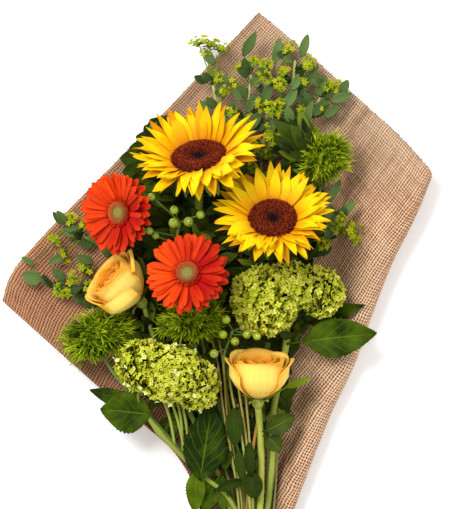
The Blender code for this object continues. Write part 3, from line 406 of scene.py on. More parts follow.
class Finish:
    """One procedural material."""

    def __init__(self, name, **constants):
        self.material = bpy.data.materials.new(name)
        self.material.use_nodes = True
        self.tree = self.material.node_tree
        self.tree.nodes.clear()
        self.shader = self.tree.nodes.new("ShaderNodeBsdfPrincipled")
        output = self.tree.nodes.new("ShaderNodeOutputMaterial")
        self.tree.links.new(self.shader.outputs[0], output.inputs["Surface"])
        for socket, value in constants.items():
            self.shader.inputs[socket.replace("_", " ")].default_value = value
        self.cache = {}

    def node(self, kind, settings, sockets):
        """A node of that kind: its settings first, then the values or links of its sockets."""
        made = self.tree.nodes.new(kind)
        for key, value in settings.items():
            if key == "stops":
                ramp = made.color_ramp
                while len(ramp.elements) > len(value):
                    ramp.elements.remove(ramp.elements[-1])
                while len(ramp.elements) < len(value):
                    ramp.elements.new(1.0)
                for element, (place, colour) in zip(ramp.elements, value):
                    element.position = place
                    element.color = (*colour, 1.0)
            else:
                setattr(made, key, value)
        for key, value in sockets.items():
            if isinstance(value, Value):
                self.tree.links.new(value.socket, made.inputs[key])
            elif isinstance(value, bpy.types.NodeSocket):
                self.tree.links.new(value, made.inputs[key])
            else:
                made.inputs[key].default_value = value
        return made

    def once(self, key, kind, settings, output):
        """An output of a node that the whole material shares."""
        if key not in self.cache:
            self.cache[key] = self.node(kind, settings, {}).outputs[output]
        return self.cache[key]

    def uv_vector(self):
        return self.once("uv", "ShaderNodeUVMap", {"uv_map": "UVMap"}, 0)

    def here(self):
        return self.once("here", "ShaderNodeTexCoord", {}, "Object")

    def tone(self):
        """The lightness that each copy was given."""
        return Value(self, self.once("tone", "ShaderNodeAttribute", {"attribute_name": "tone"}, "Fac"))

    def parts(self, vector):
        """The first two numbers of a vector."""
        made = self.node("ShaderNodeSeparateXYZ", {}, {0: vector})
        return Value(self, made.outputs[0]), Value(self, made.outputs[1])

    def uv(self):
        """Across and along the piece, as two numbers."""
        return self.parts(self.uv_vector())

    def stretched(self, vector, scale):
        node = self.node("ShaderNodeVectorMath", {"operation": "MULTIPLY"}, {0: vector, 1: scale})
        return node.outputs[0]

    def noise(self, scale, detail, vector=None):
        made = self.node("ShaderNodeTexNoise", {}, {
            "Vector": self.here() if vector is None else vector, "Scale": scale, "Detail": detail,
        })
        return Value(self, made.outputs[0])

    def wavy(self, value):
        """A sine of a number, from 0 to 1."""
        return value.sine() * 0.5 + 0.5

    def mix(self, factor, first, second):
        """From the first colour at 0 to the second at 1. A list is a colour for materials already."""
        sockets = {0: factor}
        for key, colour in ((6, first), (7, second)):
            if isinstance(colour, bpy.types.NodeSocket):
                sockets[key] = colour
            else:
                sockets[key] = (*(colour if isinstance(colour, list) else linear(colour)), 1.0)
        return self.node("ShaderNodeMix", {"data_type": "RGBA"}, sockets).outputs[2]

    def ramp(self, factor, stops):
        """Screen colours along a number, each with its place."""
        stops = [(place, linear(colour)) for place, colour in stops]
        return self.node("ShaderNodeValToRGB", {"stops": stops}, {0: factor}).outputs[0]

    def roughness(self, value):
        self.tree.links.new(value.socket, self.shader.inputs["Roughness"])

    def coated(self, colour, height, distance, strength=1.0):
        """The finished material, with its colour and a relief of up to distance millimetres."""
        relief = {"Height": height, "Distance": distance * MM, "Strength": strength}
        self.tree.links.new(self.node("ShaderNodeBump", {}, relief).outputs[0], self.shader.inputs["Normal"])
        self.tree.links.new(colour, self.shader.inputs["Base Color"])
        return self.material


# Finishes.


def jute_finish(settings):
    """Plain-woven jute: uneven threads over and under each other with dark gaps between, painted as shade."""
    made = Finish("jute", Roughness=0.95, Specular_IOR_Level=0.1)
    place = made.uv_vector()
    u, v = made.uv()
    u = u + (made.noise(0.22, 2.0, place) - 0.5) * 1.3
    v = v + (made.noise(0.22, 2.0, made.stretched(place, (1.0, 1.0, -1.0))) - 0.5) * 1.3
    warp_thick = made.noise(1.0, 2.0, made.stretched(place, (1.0, 0.06, 1.0)))
    weft_thick = made.noise(1.0, 2.0, made.stretched(place, (0.06, 1.0, 1.0)))
    warp_side, weft_side = (u * math.pi).sine(), (v * math.pi).sine()
    warp = (warp_side.size() * (0.55 + 0.95 * warp_thick)).clipped()
    weft = (weft_side.size() * (0.55 + 0.95 * weft_thick)).clipped()
    over = (warp_side * weft_side * 4.0 + 0.5).clipped()
    height = over * warp + (1 - over) * weft
    # Painted shade: the gaps between the threads are coloured dark in place of the shadow under the cloth.
    gap_shade = 1 - (warp.math("MAXIMUM", weft)).between(0.55, 0.95)
    gap_shade = gap_shade.math("MAXIMUM", (1 - weft.between(0.25, 0.7)) * 0.55)
    slub = over * warp_thick + (1 - over) * weft_thick
    tint = made.noise(0.11, 3.0, place)
    fibre = made.noise(3.1, 2.0, place)
    thread = made.mix(tint.between(0.3, 0.7), settings.thread_dark, settings.thread_light)
    thread = made.mix(fibre.between(0.35, 0.75) * 0.4, thread, (250, 222, 188))
    thread = made.mix((1 - slub.between(0.25, 0.6)) * 0.3, thread, settings.gap)
    # Painted shade: the threads darken where they dip under.
    thread = made.mix((1 - height.between(0.2, 0.9)) * 0.45, thread, settings.gap)
    x, y = made.parts(made.here())
    # Painted shade: the cloth turns darker and browner toward its left.
    painted_left_shade = (1 - x.between(-0.16, 0.12)) * 0.7
    thread = made.mix(painted_left_shade, thread, settings.thread_left_shade)
    # Painted light: the right side of the cloth, away from its top, is paler.
    painted_right_light = x.between(0.0, 0.12) * (1 - y.between(-0.02, 0.12))
    thread = made.mix(painted_right_light * 0.3, thread, (255, 228, 190))
    # Painted light: toward the top, and most at the top right, the cloth is paler and greyer and its gaps less dark.
    painted_top_light = y.between(0.06, 0.2) * (0.4 + 0.3 * x.between(0.12, 0.18))
    thread = made.mix(painted_top_light, thread, (186, 168, 142))
    return made.coated(made.mix(gap_shade * (0.97 - 0.5 * painted_top_light), thread, settings.gap), height + fibre * 0.25, 0.6, 0.6)


def twine_finish(settings):
    """Jute fibres in two shades."""
    made = Finish("twine", Roughness=0.9, Specular_IOR_Level=0.2)
    fibre = made.noise(1400.0, 3.0)
    coarse = made.noise(260.0, 2.0)
    light = (fibre * 0.6 + coarse * 0.5).between(0.3, 0.8)
    return made.coated(made.mix(light, settings.gap, (214, 178, 132)), fibre, 0.4)


def sun_petal_finish(settings):
    """Golden at the root, bright yellow outside, with fine lengthwise veins."""
    made = Finish("sunflower_petal", Roughness=0.62, Specular_IOR_Level=0.12)
    across, along = made.uv()
    lines = made.wavy(across * 30.0 + made.noise(40.0, 1.0) * 4.0)
    soft = made.noise(60.0, 3.0)
    base = made.ramp(along + (soft - 0.5) * 0.3, (
        (0.0, settings.root), (0.26, settings.middle), (0.6, settings.tip),
        (0.93, settings.tip), (1.0, settings.middle),
    ))
    base = made.mix(lines * 0.4, base, settings.middle)
    # Painted shade: copies with a low tone, the back row and the petals at the top, turn toward the root's gold.
    base = made.mix(made.tone().between(0.5, -0.1) * 0.75, base, settings.root)
    return made.coated(base, lines * 0.6 + soft * 0.8, 0.35, 0.6)


def seed_finish():
    """Near-black buds at the middle, maroon-brown ones with orange-brown tips round them."""
    made = Finish("sunflower_seeds", Roughness=0.8, Specular_IOR_Level=0.1)
    tone = made.tone()
    speck = made.noise(560.0, 1.0)
    _, along = made.uv()
    ring = made.ramp(tone, (
        (0.0, (14, 20, 28)), (0.13, (20, 16, 18)), (0.24, (86, 24, 8)), (0.6, (104, 24, 6)), (1.0, (70, 12, 4)),
    ))
    ring = made.mix((1 - along.between(0.35, 0.7)) * 0.85, ring, (14, 2, 2))
    tip = along.between(0.55, 0.8) * speck.between(0.5, 0.56) * tone.between(0.14, 0.34)
    return made.coated(made.mix(tip * 0.5, ring, (200, 96, 42)), speck, 0.3)


def gerbera_finish(settings):
    """Orange where a petal faces the light, deep red on the other side and at its root."""
    made = Finish("gerbera_petal", Roughness=0.62, Specular_IOR_Level=0.1)
    across, along = made.uv()
    groove = made.wavy(across * math.tau * 2.0)
    soft = made.noise(90.0, 3.0)
    lit = made.mix(made.tone().clipped(), settings.shade, settings.lit)
    lit = made.mix((1 - along.between(0.0, 0.35)) * 0.5, lit, settings.shade)
    edge = (across - 0.5).size().between(0.36, 0.5)
    lit = made.mix(groove * 0.2 + edge * 0.3, lit, settings.shade)
    colour = made.mix((along * 0.9 + soft * 0.4 - 0.75).clipped() * 0.4, lit, (248, 96, 24))
    return made.coated(colour, groove * 0.8 + soft * 0.5, 0.3, 0.7)


def gerbera_eye_finish():
    """An olive middle in a ring of tiny orange and red florets."""
    made = Finish("gerbera_eye", Roughness=0.7)
    tone = made.tone()
    speck = made.noise(700.0, 2.0)
    _, along = made.uv()
    base = made.ramp(tone, (
        (0.0, (104, 100, 26)), (0.4, (132, 116, 40)), (0.52, (104, 66, 20)),
        (0.64, (178, 92, 30)), (0.82, (196, 58, 16)), (1.0, (176, 20, 6)),
    ))
    lit = along.between(0.5, 0.9) * speck.between(0.4, 0.6) * tone.between(0.45, 0.6)
    return made.coated(made.mix(lit * 0.6, base, (226, 156, 70)), speck, 0.3)


def rose_finish(settings):
    """Cream outer petals, golden ones inside, with faint veins and darker rims."""
    made = Finish("rose_petal", Roughness=0.5, Specular_IOR_Level=0.15)
    across, along = made.uv()
    tone = made.tone()
    vein = made.wavy(across * 60.0 + made.noise(30.0, 2.0) * 9.0) * along
    cloud = made.noise(38.0, 3.0)
    base = made.mix(tone.clipped(), settings.inner, settings.outer)
    base = made.mix((1 - along.between(0.0, 0.5)) * 0.5, base, (228, 176, 60))
    base = made.mix(tone.between(0.25, -0.2) * 0.8, base, (198, 104, 30))
    base = made.mix(vein * 0.14, base, settings.inner)
    base = made.mix((across - 0.5).size().between(0.22, 0.5) * 0.6, base, settings.inner)
    base = made.mix(along.between(0.9, 1.0) * 0.5, base, (224, 138, 22))
    return made.coated(made.mix(cloud.between(0.45, 0.8) * 0.3, base, (252, 216, 104)), vein * 0.5 + cloud, 0.5, 0.5)


def leafy_finish(name, dark, light, rough, vein=0.4, side_veins=9.0, gloss=0.12, mottle=0.6):
    """A leaf: a pale midrib, side veins that lean forward, and blades that vary in tone."""
    made = Finish(name, Roughness=rough, Specular_IOR_Level=gloss)
    across, along = made.uv()
    off = (across - 0.5).size() * 2.0
    soft = made.noise(48.0, 3.0)
    midrib = (1 - off.between(0.0, 0.07)) * (1 - along * 0.5)
    wander = made.noise(30.0, 1.0) * 0.8
    side = ((along * side_veins - off * 2.2 + wander) * math.pi).sine().size()
    side = (1 - side.between(0.0, 0.22)) * (1 - off.between(0.75, 1.0) * 0.6)
    lines = midrib.math("MAXIMUM", side * 0.75)
    mixed = (made.tone() * 0.9 + (soft - 0.5) * mottle + 0.05).clipped()
    pale = [min(1.0, c * gain) for c, gain in zip(linear(light), (1.7, 1.5, 1.5))]
    made.roughness(rough + (soft - 0.5) * 0.25)
    colour = made.mix(lines * vein, made.mix(mixed, dark, light), pale)
    return made.coated(colour, (1 - lines) * 0.7 + made.noise(200.0, 2.0) * 0.3, 0.5, 0.8)


def stem_finish(name, dark, light, rough=0.5):
    """A smooth stem with fine lengthwise fibres and a few darker stretches."""
    made = Finish(name, Roughness=rough, Specular_IOR_Level=0.18)
    fibre = made.wavy(made.uv()[0] * 70.0 + made.noise(20.0, 2.0) * 4.0)
    patch = made.noise(18.0, 3.0)
    mixed = (made.tone() + (patch - 0.5) * 0.9 + (fibre - 0.5) * 0.25).clipped()
    made.roughness(rough + (patch - 0.5) * 0.2)
    return made.coated(made.mix(mixed, dark, light), fibre * 0.5 + patch, 0.2, 0.5)


def floret_finish():
    """Lime florets, darker toward their hearts and, as painted shade, where they sit deep in the head, with pale petal
    tips.
    """
    made = Finish("floret", Roughness=0.62, Specular_IOR_Level=0.1)
    _, along = made.uv()
    soft = made.noise(150.0, 2.0)
    base = made.ramp((made.tone() + (soft - 0.5) * 0.25).clipped(), (
        (0.0, (34, 46, 2)), (0.3, (136, 146, 14)), (0.6, (186, 192, 36)),
        (0.88, (216, 216, 74)), (1.0, (234, 234, 150)),
    ))
    base = made.mix((1 - along.between(0.0, 0.5)) * 0.4, base, (122, 132, 10))
    return made.coated(made.mix(along.between(0.75, 1.0) * 0.3, base, (238, 238, 140)), soft + along * 0.5, 0.3, 0.5)


def needle_finish():
    """Dark green at the root, lime at the tip."""
    made = Finish("needle", Roughness=0.6, Specular_IOR_Level=0.1)
    _, along = made.uv()
    colour = made.ramp((along * 0.8 + made.tone() * 0.35).clipped(), (
        (0.0, (12, 22, 0)), (0.35, (52, 78, 0)), (0.7, (122, 146, 6)), (1.0, (206, 214, 44)),
    ))
    return made.coated(colour, made.noise(500.0, 2.0), 0.2, 0.4)


def berry_finish(settings):
    """Glossy green skin, browner toward the base, with a dark dimple at the tip."""
    made = Finish("berry", Roughness=0.22, Specular_IOR_Level=0.6, Coat_Weight=0.4, Coat_Roughness=0.12)
    _, along = made.uv()
    soft = made.noise(120.0, 2.0)
    base = made.mix((made.tone() + (soft - 0.5) * 0.5).clipped(), (116, 96, 40), settings.berry)
    base = made.mix((1 - along.between(0.0, 0.5)) * 0.5, base, (78, 104, 22))
    return made.coated(made.mix(along.between(0.97, 1.0), base, (50, 46, 16)), soft, 0.3, 0.4)


def umbel_finish():
    """Yellow-green buds and bracts, a few of them turning orange."""
    made = Finish("umbel", Roughness=0.62, Specular_IOR_Level=0.1)
    _, along = made.uv()
    soft = made.noise(300.0, 2.0)
    base = made.ramp((made.tone() + (soft - 0.5) * 0.3).clipped(), (
        (0.0, (70, 98, 8)), (0.45, (136, 154, 12)), (0.75, (188, 186, 20)), (1.0, (206, 160, 24)),
    ))
    return made.coated(made.mix(along.between(0.6, 1.0) * 0.3, base, (222, 214, 60)), soft, 0.3)


# The wrap: finer than the solid, its margins fitted closer, with soft folds. Each table pairs a place along the
# bouquet (y) with where an edge runs, where the cloth's flat middle ends or how far a margin rises.

RIGHT_EDGE = ((-292, 28), (-265, 50), (-209, 62), (-168, 74), (-116, 92), (-56, 120), (-13, 135),
              (48, 158), (100, 185), (134, 201), (190, 143), (288, 34))
LEFT_EDGE = ((-292, 22), (-265, -1), (-209, -25), (-177, -35), (-152, -51), (-125, -81), (-84, -130),
             (-1, -223), (105, -142), (288, 34))
RIGHT_FLAT = ((-292, 25), (-265, 25), (-209, 40), (-168, 52), (-100, 74), (-13, 92), (48, 100),
              (131, 106), (190, 90), (288, 0))
LEFT_FLAT = ((-292, 25), (-265, 25), (-209, 6), (-168, -12), (-125, -50), (-84, -95), (-1, -160),
             (105, -110), (288, 40))
RIGHT_RISE = ((-292, 0), (-280, 3), (-267, 21), (-262, 23), (-209, 27), (-168, 28), (-100, 30), (-13, 32),
              (48, 36), (100, 38), (131, 36), (190, 16), (288, 4))
LEFT_RISE = ((-292, 0), (-280, 3), (-267, 22), (-262, 24), (-209, 27), (-168, 22), (-125, 14), (-84, 9),
             (-1, 7), (105, 5), (288, 4))
FOOT_RISE = ((-300, 4.6), (-262, 5.9), (-232, 1.6), (-205, 0.0))
# Seen from above, a fold on the right of the cloth runs from its brow to its ridge.
FOLD_BROW = ((50, 98), (110, 107), (150, 112), (175, 122), (195, 138))
FOLD_RIDGE = ((50, 145), (125, 179), (150, 178), (180, 164))
CLOTH_TOP, CLOTH_LEFT, CLOTH_RIGHT, CLOTH_FOOT = (34, 288), (-223, -1), (201, 134), (25, -290)
CLOTH_THICK = 1.2
# Leaves stay above this height.
CLOTH_TOP_FACE = 1.8
# The margin that is rolled under, as a share of the cloth's side.
ROLL_SHARE = 0.08
ROLL_TURN = math.radians(200)
# What the threads are counted over: down the cloth, and across it at its top and at its foot.
WEAVE_DOWN = 418.0
WEAVE_ACROSS = (258.0, 345.0)
FRAY_COUNT = 620


def cloth_height(x, y, folds):
    """The height of the middle of the cloth over places in the plan."""
    gather = smooth((-170 - y) / 80)
    right_edge, right_flat = rows_of(RIGHT_EDGE, y), rows_of(RIGHT_FLAT, y)
    left_edge, left_flat = rows_of(LEFT_EDGE, y), rows_of(LEFT_FLAT, y)
    right = np.clip((x - right_flat) / np.maximum(right_edge - right_flat, 1), 0, 1)
    left = np.clip((left_flat - x) / np.maximum(left_flat - left_edge, 1), 0, 1)
    height = rows_of(FOOT_RISE, y) + CLOTH_THICK / 2
    height = height + rows_of(RIGHT_RISE, y) * ((1 - gather) * smooth(right) + gather * right**5)
    height = height + rows_of(LEFT_RISE, y) * ((1 - gather) * left**2 + gather * left**5)
    pleats = np.sin((x - 0.32 * (y - TIE_Y)) * 0.21 + 0.6) * smooth((-70 - y) / 120) * smooth(right * 3)
    swell = np.sin(x * 0.031 + y * 0.017) * np.sin(x * 0.013 - y * 0.027 + 1.0)
    calm = np.clip(np.maximum(right, left) * 2.5, 0, 1) * (1 - gather * 0.8)
    brow, ridge = rows_of(FOLD_BROW, y), rows_of(FOLD_RIDGE, y)
    fold = (0.9 * smooth((x - brow + 34) / 34) - 1.2 * smooth((x - brow) / 15)
            + 0.9 * smooth((x - brow - 15) / np.maximum(ridge - brow - 15, 5)) - 0.6 * smooth((x - ridge) / 18))
    fold = fold * smooth((y - 30) / 60) * (1 - smooth((y - 195) / 25))
    return np.maximum(height + folds * (3.0 * pleats + 1.3 * swell * calm + 9.0 * fold), CLOTH_THICK / 2)


def at_length(line, value):
    """Places at shares of a line's length."""
    steps = np.linalg.norm(np.diff(line, axis=0), axis=1)
    along = np.concatenate([[0], np.cumsum(steps)]) / steps.sum()
    return np.stack([np.interp(value, along, line[:, k]) for k in range(line.shape[1])], axis=-1)


def roll_radius(u):
    """The radius of the rolled margin, largest at the middle of its length."""
    begun = np.minimum(1.6 + 100 * u**0.6, 9.0 + 20 * u)
    return np.clip(np.minimum(begun, 1.6 + 22 * (1 - u) ** 0.8), 1.6, 12.0)


def cloth_points(u, v, folds):
    """The sheet over the unit square: u runs from the top corner to the left one, v to the right one.

    v past 1 winds round the rolled right margin.
    """
    top, left, right, foot = (np.array(c, float) for c in (CLOTH_TOP, CLOTH_LEFT, CLOTH_RIGHT, CLOTH_FOOT))
    upper_left = curve_through([top, (-54, 195), (-142, 105), (-187, 59), (-217, 20), left], 60)
    upper_right = curve_through([top, (90, 240), (136, 199), (177, 161), right], 60)
    lower_left = curve_through(
        [left, (-130, -84), (-81, -125), (-51, -152), (-35, -177), (-25, -209), (-1, -265), foot], 80
    )
    lower_right = curve_through(
        [right, (185, 98), (158, 46), (135, -13), (120, -56), (92, -116), (74, -168), (61, -209),
         (48, -265), foot], 80
    )
    flat = np.minimum(v, 1.0)
    a, b = u[:, None], flat[:, None]
    edge = at_length(lower_right, u)
    plan = (1 - b) * at_length(upper_left, u) + b * edge
    plan = plan + (1 - a) * at_length(upper_right, flat) + a * at_length(lower_left, flat)
    plan = plan - (1 - a) * (1 - b) * top - (1 - a) * b * right - a * (1 - b) * left - a * b * foot
    points = np.column_stack([plan, cloth_height(plan[:, 0], plan[:, 1], folds)])
    ahead = at_length(lower_right, np.minimum(u + 0.02, 1)) - at_length(lower_right, np.maximum(u - 0.02, 0))
    out = np.column_stack([-ahead[:, 1], ahead[:, 0]])
    out /= np.linalg.norm(out, axis=1, keepdims=True)
    radius = roll_radius(u)
    turn = np.clip(v - 1.0, 0, 1) / ROLL_SHARE * ROLL_TURN
    points[:, :2] += out * (radius * np.sin(turn))[:, None]
    points[:, 2] -= radius * (1 - np.cos(turn))
    return points


def weave_of(u, v, pitch):
    """Thread counts over the sheet, level with its cut edges and on round the roll."""
    flat = np.minimum(v, 1.0)
    rolled = (v - flat) / ROLL_SHARE * ROLL_TURN * roll_radius(u)
    return u * WEAVE_DOWN / pitch, (flat * (WEAVE_ACROSS[0] * (1 - u) + WEAVE_ACROSS[1] * u) + rolled) / pitch


def build_wrap(settings):
    """One sheet of coarse jute, with its threads level with the cut edges."""
    stamp = grid_stamp(170, 150)
    u = (stamp.u + 1) / 2
    v = stamp.v * (1 + ROLL_SHARE)
    flat = np.minimum(v, 1.0)
    # The grid is closer toward the left corner and the right margin, where the cloth bends most.
    u = 1 - (1 - u) ** 1.3
    v = 1 - (1 - flat) ** 1.25 + (v - flat)
    heap = Heap()
    heap.add(stamp, cloth_points(u, v, settings.folds))
    layer = heap.work.loops.layers.uv["UVMap"]
    across, along = weave_of(u, v, settings.pitch)
    heap.work.verts.index_update()
    for face in heap.work.faces:
        for loop in face.loops:
            k = loop.vert.index
            loop[layer].uv = (across[k], along[k])
    cloth = heap.piece("burlap_cloth", jute_finish(settings), "jute", ("burlap_wrap",), thickness=CLOTH_THICK * 0.9)


def build_frayed_edge(settings):
    """Short loose thread ends along the sheet's cut edges."""
    rng = random.Random(7)
    stamp = rod_stamp(3, 5)
    heap = Heap()
    for k in range(FRAY_COUNT):
        share = rng.random()
        along_top = k % 2
        u, v = (share, 0.0) if along_top else (0.0, share)
        spot = cloth_points(np.array([u, u + 0.004 * (not along_top)]), np.array([v, v + 0.004 * along_top]), 1.0)
        inward = unit(spot[1] - spot[0]) * (1, 1, 0.2)
        ahead = np.cross(inward, [0, 0, 1]) * rng.uniform(-0.7, 0.7)
        out = unit(-inward + ahead)
        length = rng.uniform(0.8, 2.6)
        start = spot[0] + inward * 0.6
        path = [start, start + out * length * 0.5 + (0, 0, rng.uniform(-0.1, 0.5)),
                start + out * length + (0, 0, rng.uniform(-0.3, 0.6))]
        heap.rod(stamp, path, (0.28, 0.24, 0.16), rng.random())
    heap.piece("burlap_fray", twine_finish(settings), "jute")


def build_tie(settings):
    """Three-strand twine: two turns round the bundle, a knot on top and two short tails."""
    stamp, short = rod_stamp(6, 260), rod_stamp(6, 60)
    turns = np.linspace(0, 1, 400)
    angle = math.tau * TWINE_TURNS * turns + math.pi / 2
    along = (turns - 0.5) * (TWINE_TURNS * TWINE_RADIUS * 2.5)
    ring = np.column_stack([RING_X + RING[0] * np.cos(angle), TIE_Y + along, RING_Z + RING[1] * np.sin(angle)])
    heap = Heap()
    knot = np.array([RING_X, TIE_Y, RING_Z + RING[1] + 1.0])

    def strands(path, stamp, radius, pitch):
        path = curve_through(path, stamp.rows + 1)
        length = np.concatenate([[0], np.cumsum(np.linalg.norm(np.diff(path, axis=0), axis=1))])
        ahead = np.gradient(path, axis=0)
        ahead /= np.linalg.norm(ahead, axis=1, keepdims=True)
        side = np.cross(ahead, [0.1, 1.0, 0.1])
        side /= np.maximum(np.linalg.norm(side, axis=1, keepdims=True), 1e-9)
        over = np.cross(side, ahead)
        for strand in range(3):
            turn = length / pitch * math.tau + strand * math.tau / 3
            offset = side * np.cos(turn)[:, None] + over * np.sin(turn)[:, None]
            heap.rod(stamp, path + offset * radius * 0.5, (radius * 0.52,), 0.3 + 0.2 * strand)

    strands(ring, stamp, TWINE_RADIUS, 7.0)
    for loop in (
        [(-4.0, -2.0, 0.4), (-1.5, 2.6, 2.2), (2.0, 0.2, 2.9), (1.2, -3.8, 1.6), (-2.4, -1.0, 2.4), (-1.0, 3.4, 0.6),
         (3.4, 2.6, 0.6)],
        [(3.8, 2.0, 0.2), (4.2, -2.0, 1.6), (0.0, -3.6, 2.4), (-3.8, -0.4, 1.2), (-2.6, 3.4, 0.4)],
    ):
        strands(knot + loop, short, TWINE_RADIUS, 6.0)
    for side in (-1, 1):
        strands(knot + [(0, 0, 0), (side * 10, -6, 1), (side * 19, -17, -2), (side * 21, -30, -4)], short, 1.3, 6.0)
    heap.piece("twine_tie", twine_finish(settings), "twine", ("jute_tie",))


# Stems and where each one lies in the bundle: across from its middle, and up.

STEM_ROWS = 48
# How far a node swells its stem, as a share of the stem's length.
NODE_LENGTH = 0.02
SLOTS = {
    "bupleurum_7": (-6.1, 10.4),
    "bupleurum_6": (-3.5, 9.6),
    "bupleurum_1": (-1.35, 10.2),
    "bupleurum_2": (0.8, 10.2),
    "bupleurum_3": (2.8, 11.5),
    "bupleurum_4": (4.7, 13.5),
    "bupleurum_5": (10.7, 20.2),
    "bupleurum_8": (16.2, 21.9),
    "gerbera_1": (-8.4, 18.5),
    "sunflower_1": (-2.0, 18.4),
    "sunflower_2": (6.0, 18.1),
    "green_trick_1": (13.1, 22.0),
    "green_trick_2": (-16.9, 27.4),
    "rose_1": (-12.7, 28.3),
    "hypericum_1": (-9.2, 25.7),
    "gerbera_2": (3.42, 21.88),
    "upper_leaves": (-0.18, 24.28),
    "hydrangea_1": (11.7, 26.8),
    "hydrangea_2": (-8.5, 32.1),
    "green_trick_3": (-3.4, 33.0),
    "hypericum_2": (-0.3, 32.9),
    "leafy_stem": (2.1, 32.8),
    "rose_2": (6.9, 30.8),
}

# Where the stems of the heads run between the head and the bundle.
STEM_WAYS = {
    "sunflower_1": ((-30, 70, 26), (-8, -20, 14.5), (9, -110, 14.5)),
    "sunflower_2": ((47, 49, 35), (46, 27, 20), (45, 4, 14.5), (40, -100, 14.5)),
    "gerbera_1": ((-92, 60, 36), (-72, 10, 16), (-36, -90, 14.5)),
    "gerbera_2": ((-36, 18, 52), (-34, 11, 30), (-27, -25, 24), (-8, -100, 24)),
    "rose_1": ((-74, -22, 36), (-62, -50, 25), (-32, -120, 24)),
    "rose_2": ((34, -120, 41), (36, -150, 36)),
    "hydrangea_1": ((61, -48, 30), (56, -74, 25), (49, -104, 24), (47, -166, 24)),
    "hydrangea_2": ((-76, -119, 42), (-62, -136, 40), (-27, -171, 36)),
    "green_trick_1": ((86, 60, 16), (66, -40, 14.5)),
    "green_trick_2": ((-108, -76, 24), (-70, -122, 24)),
    "green_trick_3": ((-26, -60, 33), (-8, -120, 32.5)),
}


def stem_path(start, leave, level, slot, way=(), lead=20.0, count=9):
    """A path from a head's base down to its level, along it and through the tie."""
    start = np.asarray(start, float)
    across, up = SLOTS[slot]
    points = [start, start + unit(leave) * lead] if lead else [start]
    points.extend(np.asarray(p, float) for p in way or STEM_WAYS[slot])
    points.append(np.array([BUNDLE_X + across * FAN_SPREAD, FAN_Y, max(level, 0.62 * up)]))
    points.append(np.array([BUNDLE_X + across, TIE_Y, up]))
    points.append(np.array([BUNDLE_X + across * 1.1, STEM_END_Y + 2.5 * (up % 5), up + 0.12 * (up - RING_Z)]))
    begins = max(p[1] for p in points if p[2] >= level - 0.5)
    path = curve_through(points, count)
    low = (path[:, 1] <= begins) & (path[:, 2] < level)
    path[low, 2] = level
    return path


def head_stem(name, place, drop, level):
    """The path of the stem of a bloom, from a drop below its place."""
    return stem_path(place.at(0, 0, -drop), -place.z, level, name)


def add_stem(heap, path, radius, tone, nodes=(), knots=1.12):
    """A round stem with slightly swollen nodes where leaves once grew."""
    fine = curve_through(path, STEM_ROWS + 1)
    along = np.linspace(0, 1, STEM_ROWS + 1)
    radii = np.full(STEM_ROWS + 1, float(radius))
    for share in nodes:
        radii *= 1 + (knots - 1) * np.exp(-((along - share) / NODE_LENGTH) ** 2)
    heap.rod(rod_stamp(10, STEM_ROWS), fine, radii, tone)
    return fine


def add_ball(heap, place, stamp, wide, tall, drop, tone, top=math.inf):
    """A flattened ball below a head's place, cut level if a top is given."""
    points = stamp.points * (wide, wide, tall)
    points[:, 2] = np.minimum(points[:, 2], top)
    heap.add(stamp, place.place(points - (0, 0, drop)), tone)


def add_spiral(heap, place, radius, count, rng, tables, lean, blur):
    """Small buds in golden-angle spirals over a head.

    tables give a bud's height, length and width by its share of the radius. lean gives how upright the buds are,
    the share from which they lean outwards and how far.
    """
    bud = bud_stamp(1)
    rise, tall, wide = tables
    upright, turned, outward = lean
    for k in range(count):
        far = radius * math.sqrt((k + 0.5) / count)
        share, turn = far / radius, k * GOLDEN_TURN
        length = rows_of(tall, share) * rng.uniform(0.8, 1.2)
        across = rows_of(wide, share)
        way = unit(place.z * upright + place.out(turn) * (share - turned) * outward)
        stand = Frame(place.at(far * math.cos(turn), far * math.sin(turn), rows_of(rise, share)), way)
        heap.add(bud, stand.place(bud.points * (across, across, length)), share + rng.uniform(-blur, blur))


# Widths of leaves and petals along their length, as shares of the widest place.
LEAF_OUTLINE = ((0.0, 0.04), (0.06, 0.30), (0.16, 0.66), (0.30, 0.94), (0.42, 1.0), (0.58, 0.90), (0.74, 0.66),
                (0.88, 0.34), (0.96, 0.13), (1.0, 0.0))
OVAL_OUTLINE = ((0.0, 0.08), (0.08, 0.45), (0.22, 0.86), (0.42, 1.0), (0.62, 0.93), (0.80, 0.66), (0.92, 0.36),
                (1.0, 0.0))
SUN_OUTLINE = ((0.0, 0.62), (0.15, 0.84), (0.36, 1.0), (0.52, 0.97), (0.72, 0.68), (0.88, 0.32), (0.96, 0.12),
               (1.0, 0.0))
GERBERA_OUTLINE = ((0.0, 0.46), (0.2, 0.66), (0.45, 0.9), (0.72, 1.0), (0.88, 0.9), (0.96, 0.6), (1.0, 0.22))
NEEDLE_OUTLINE = ((0.0, 0.7), (0.3, 1.0), (0.7, 0.7), (1.0, 0.0))
TOOTH = 0.12


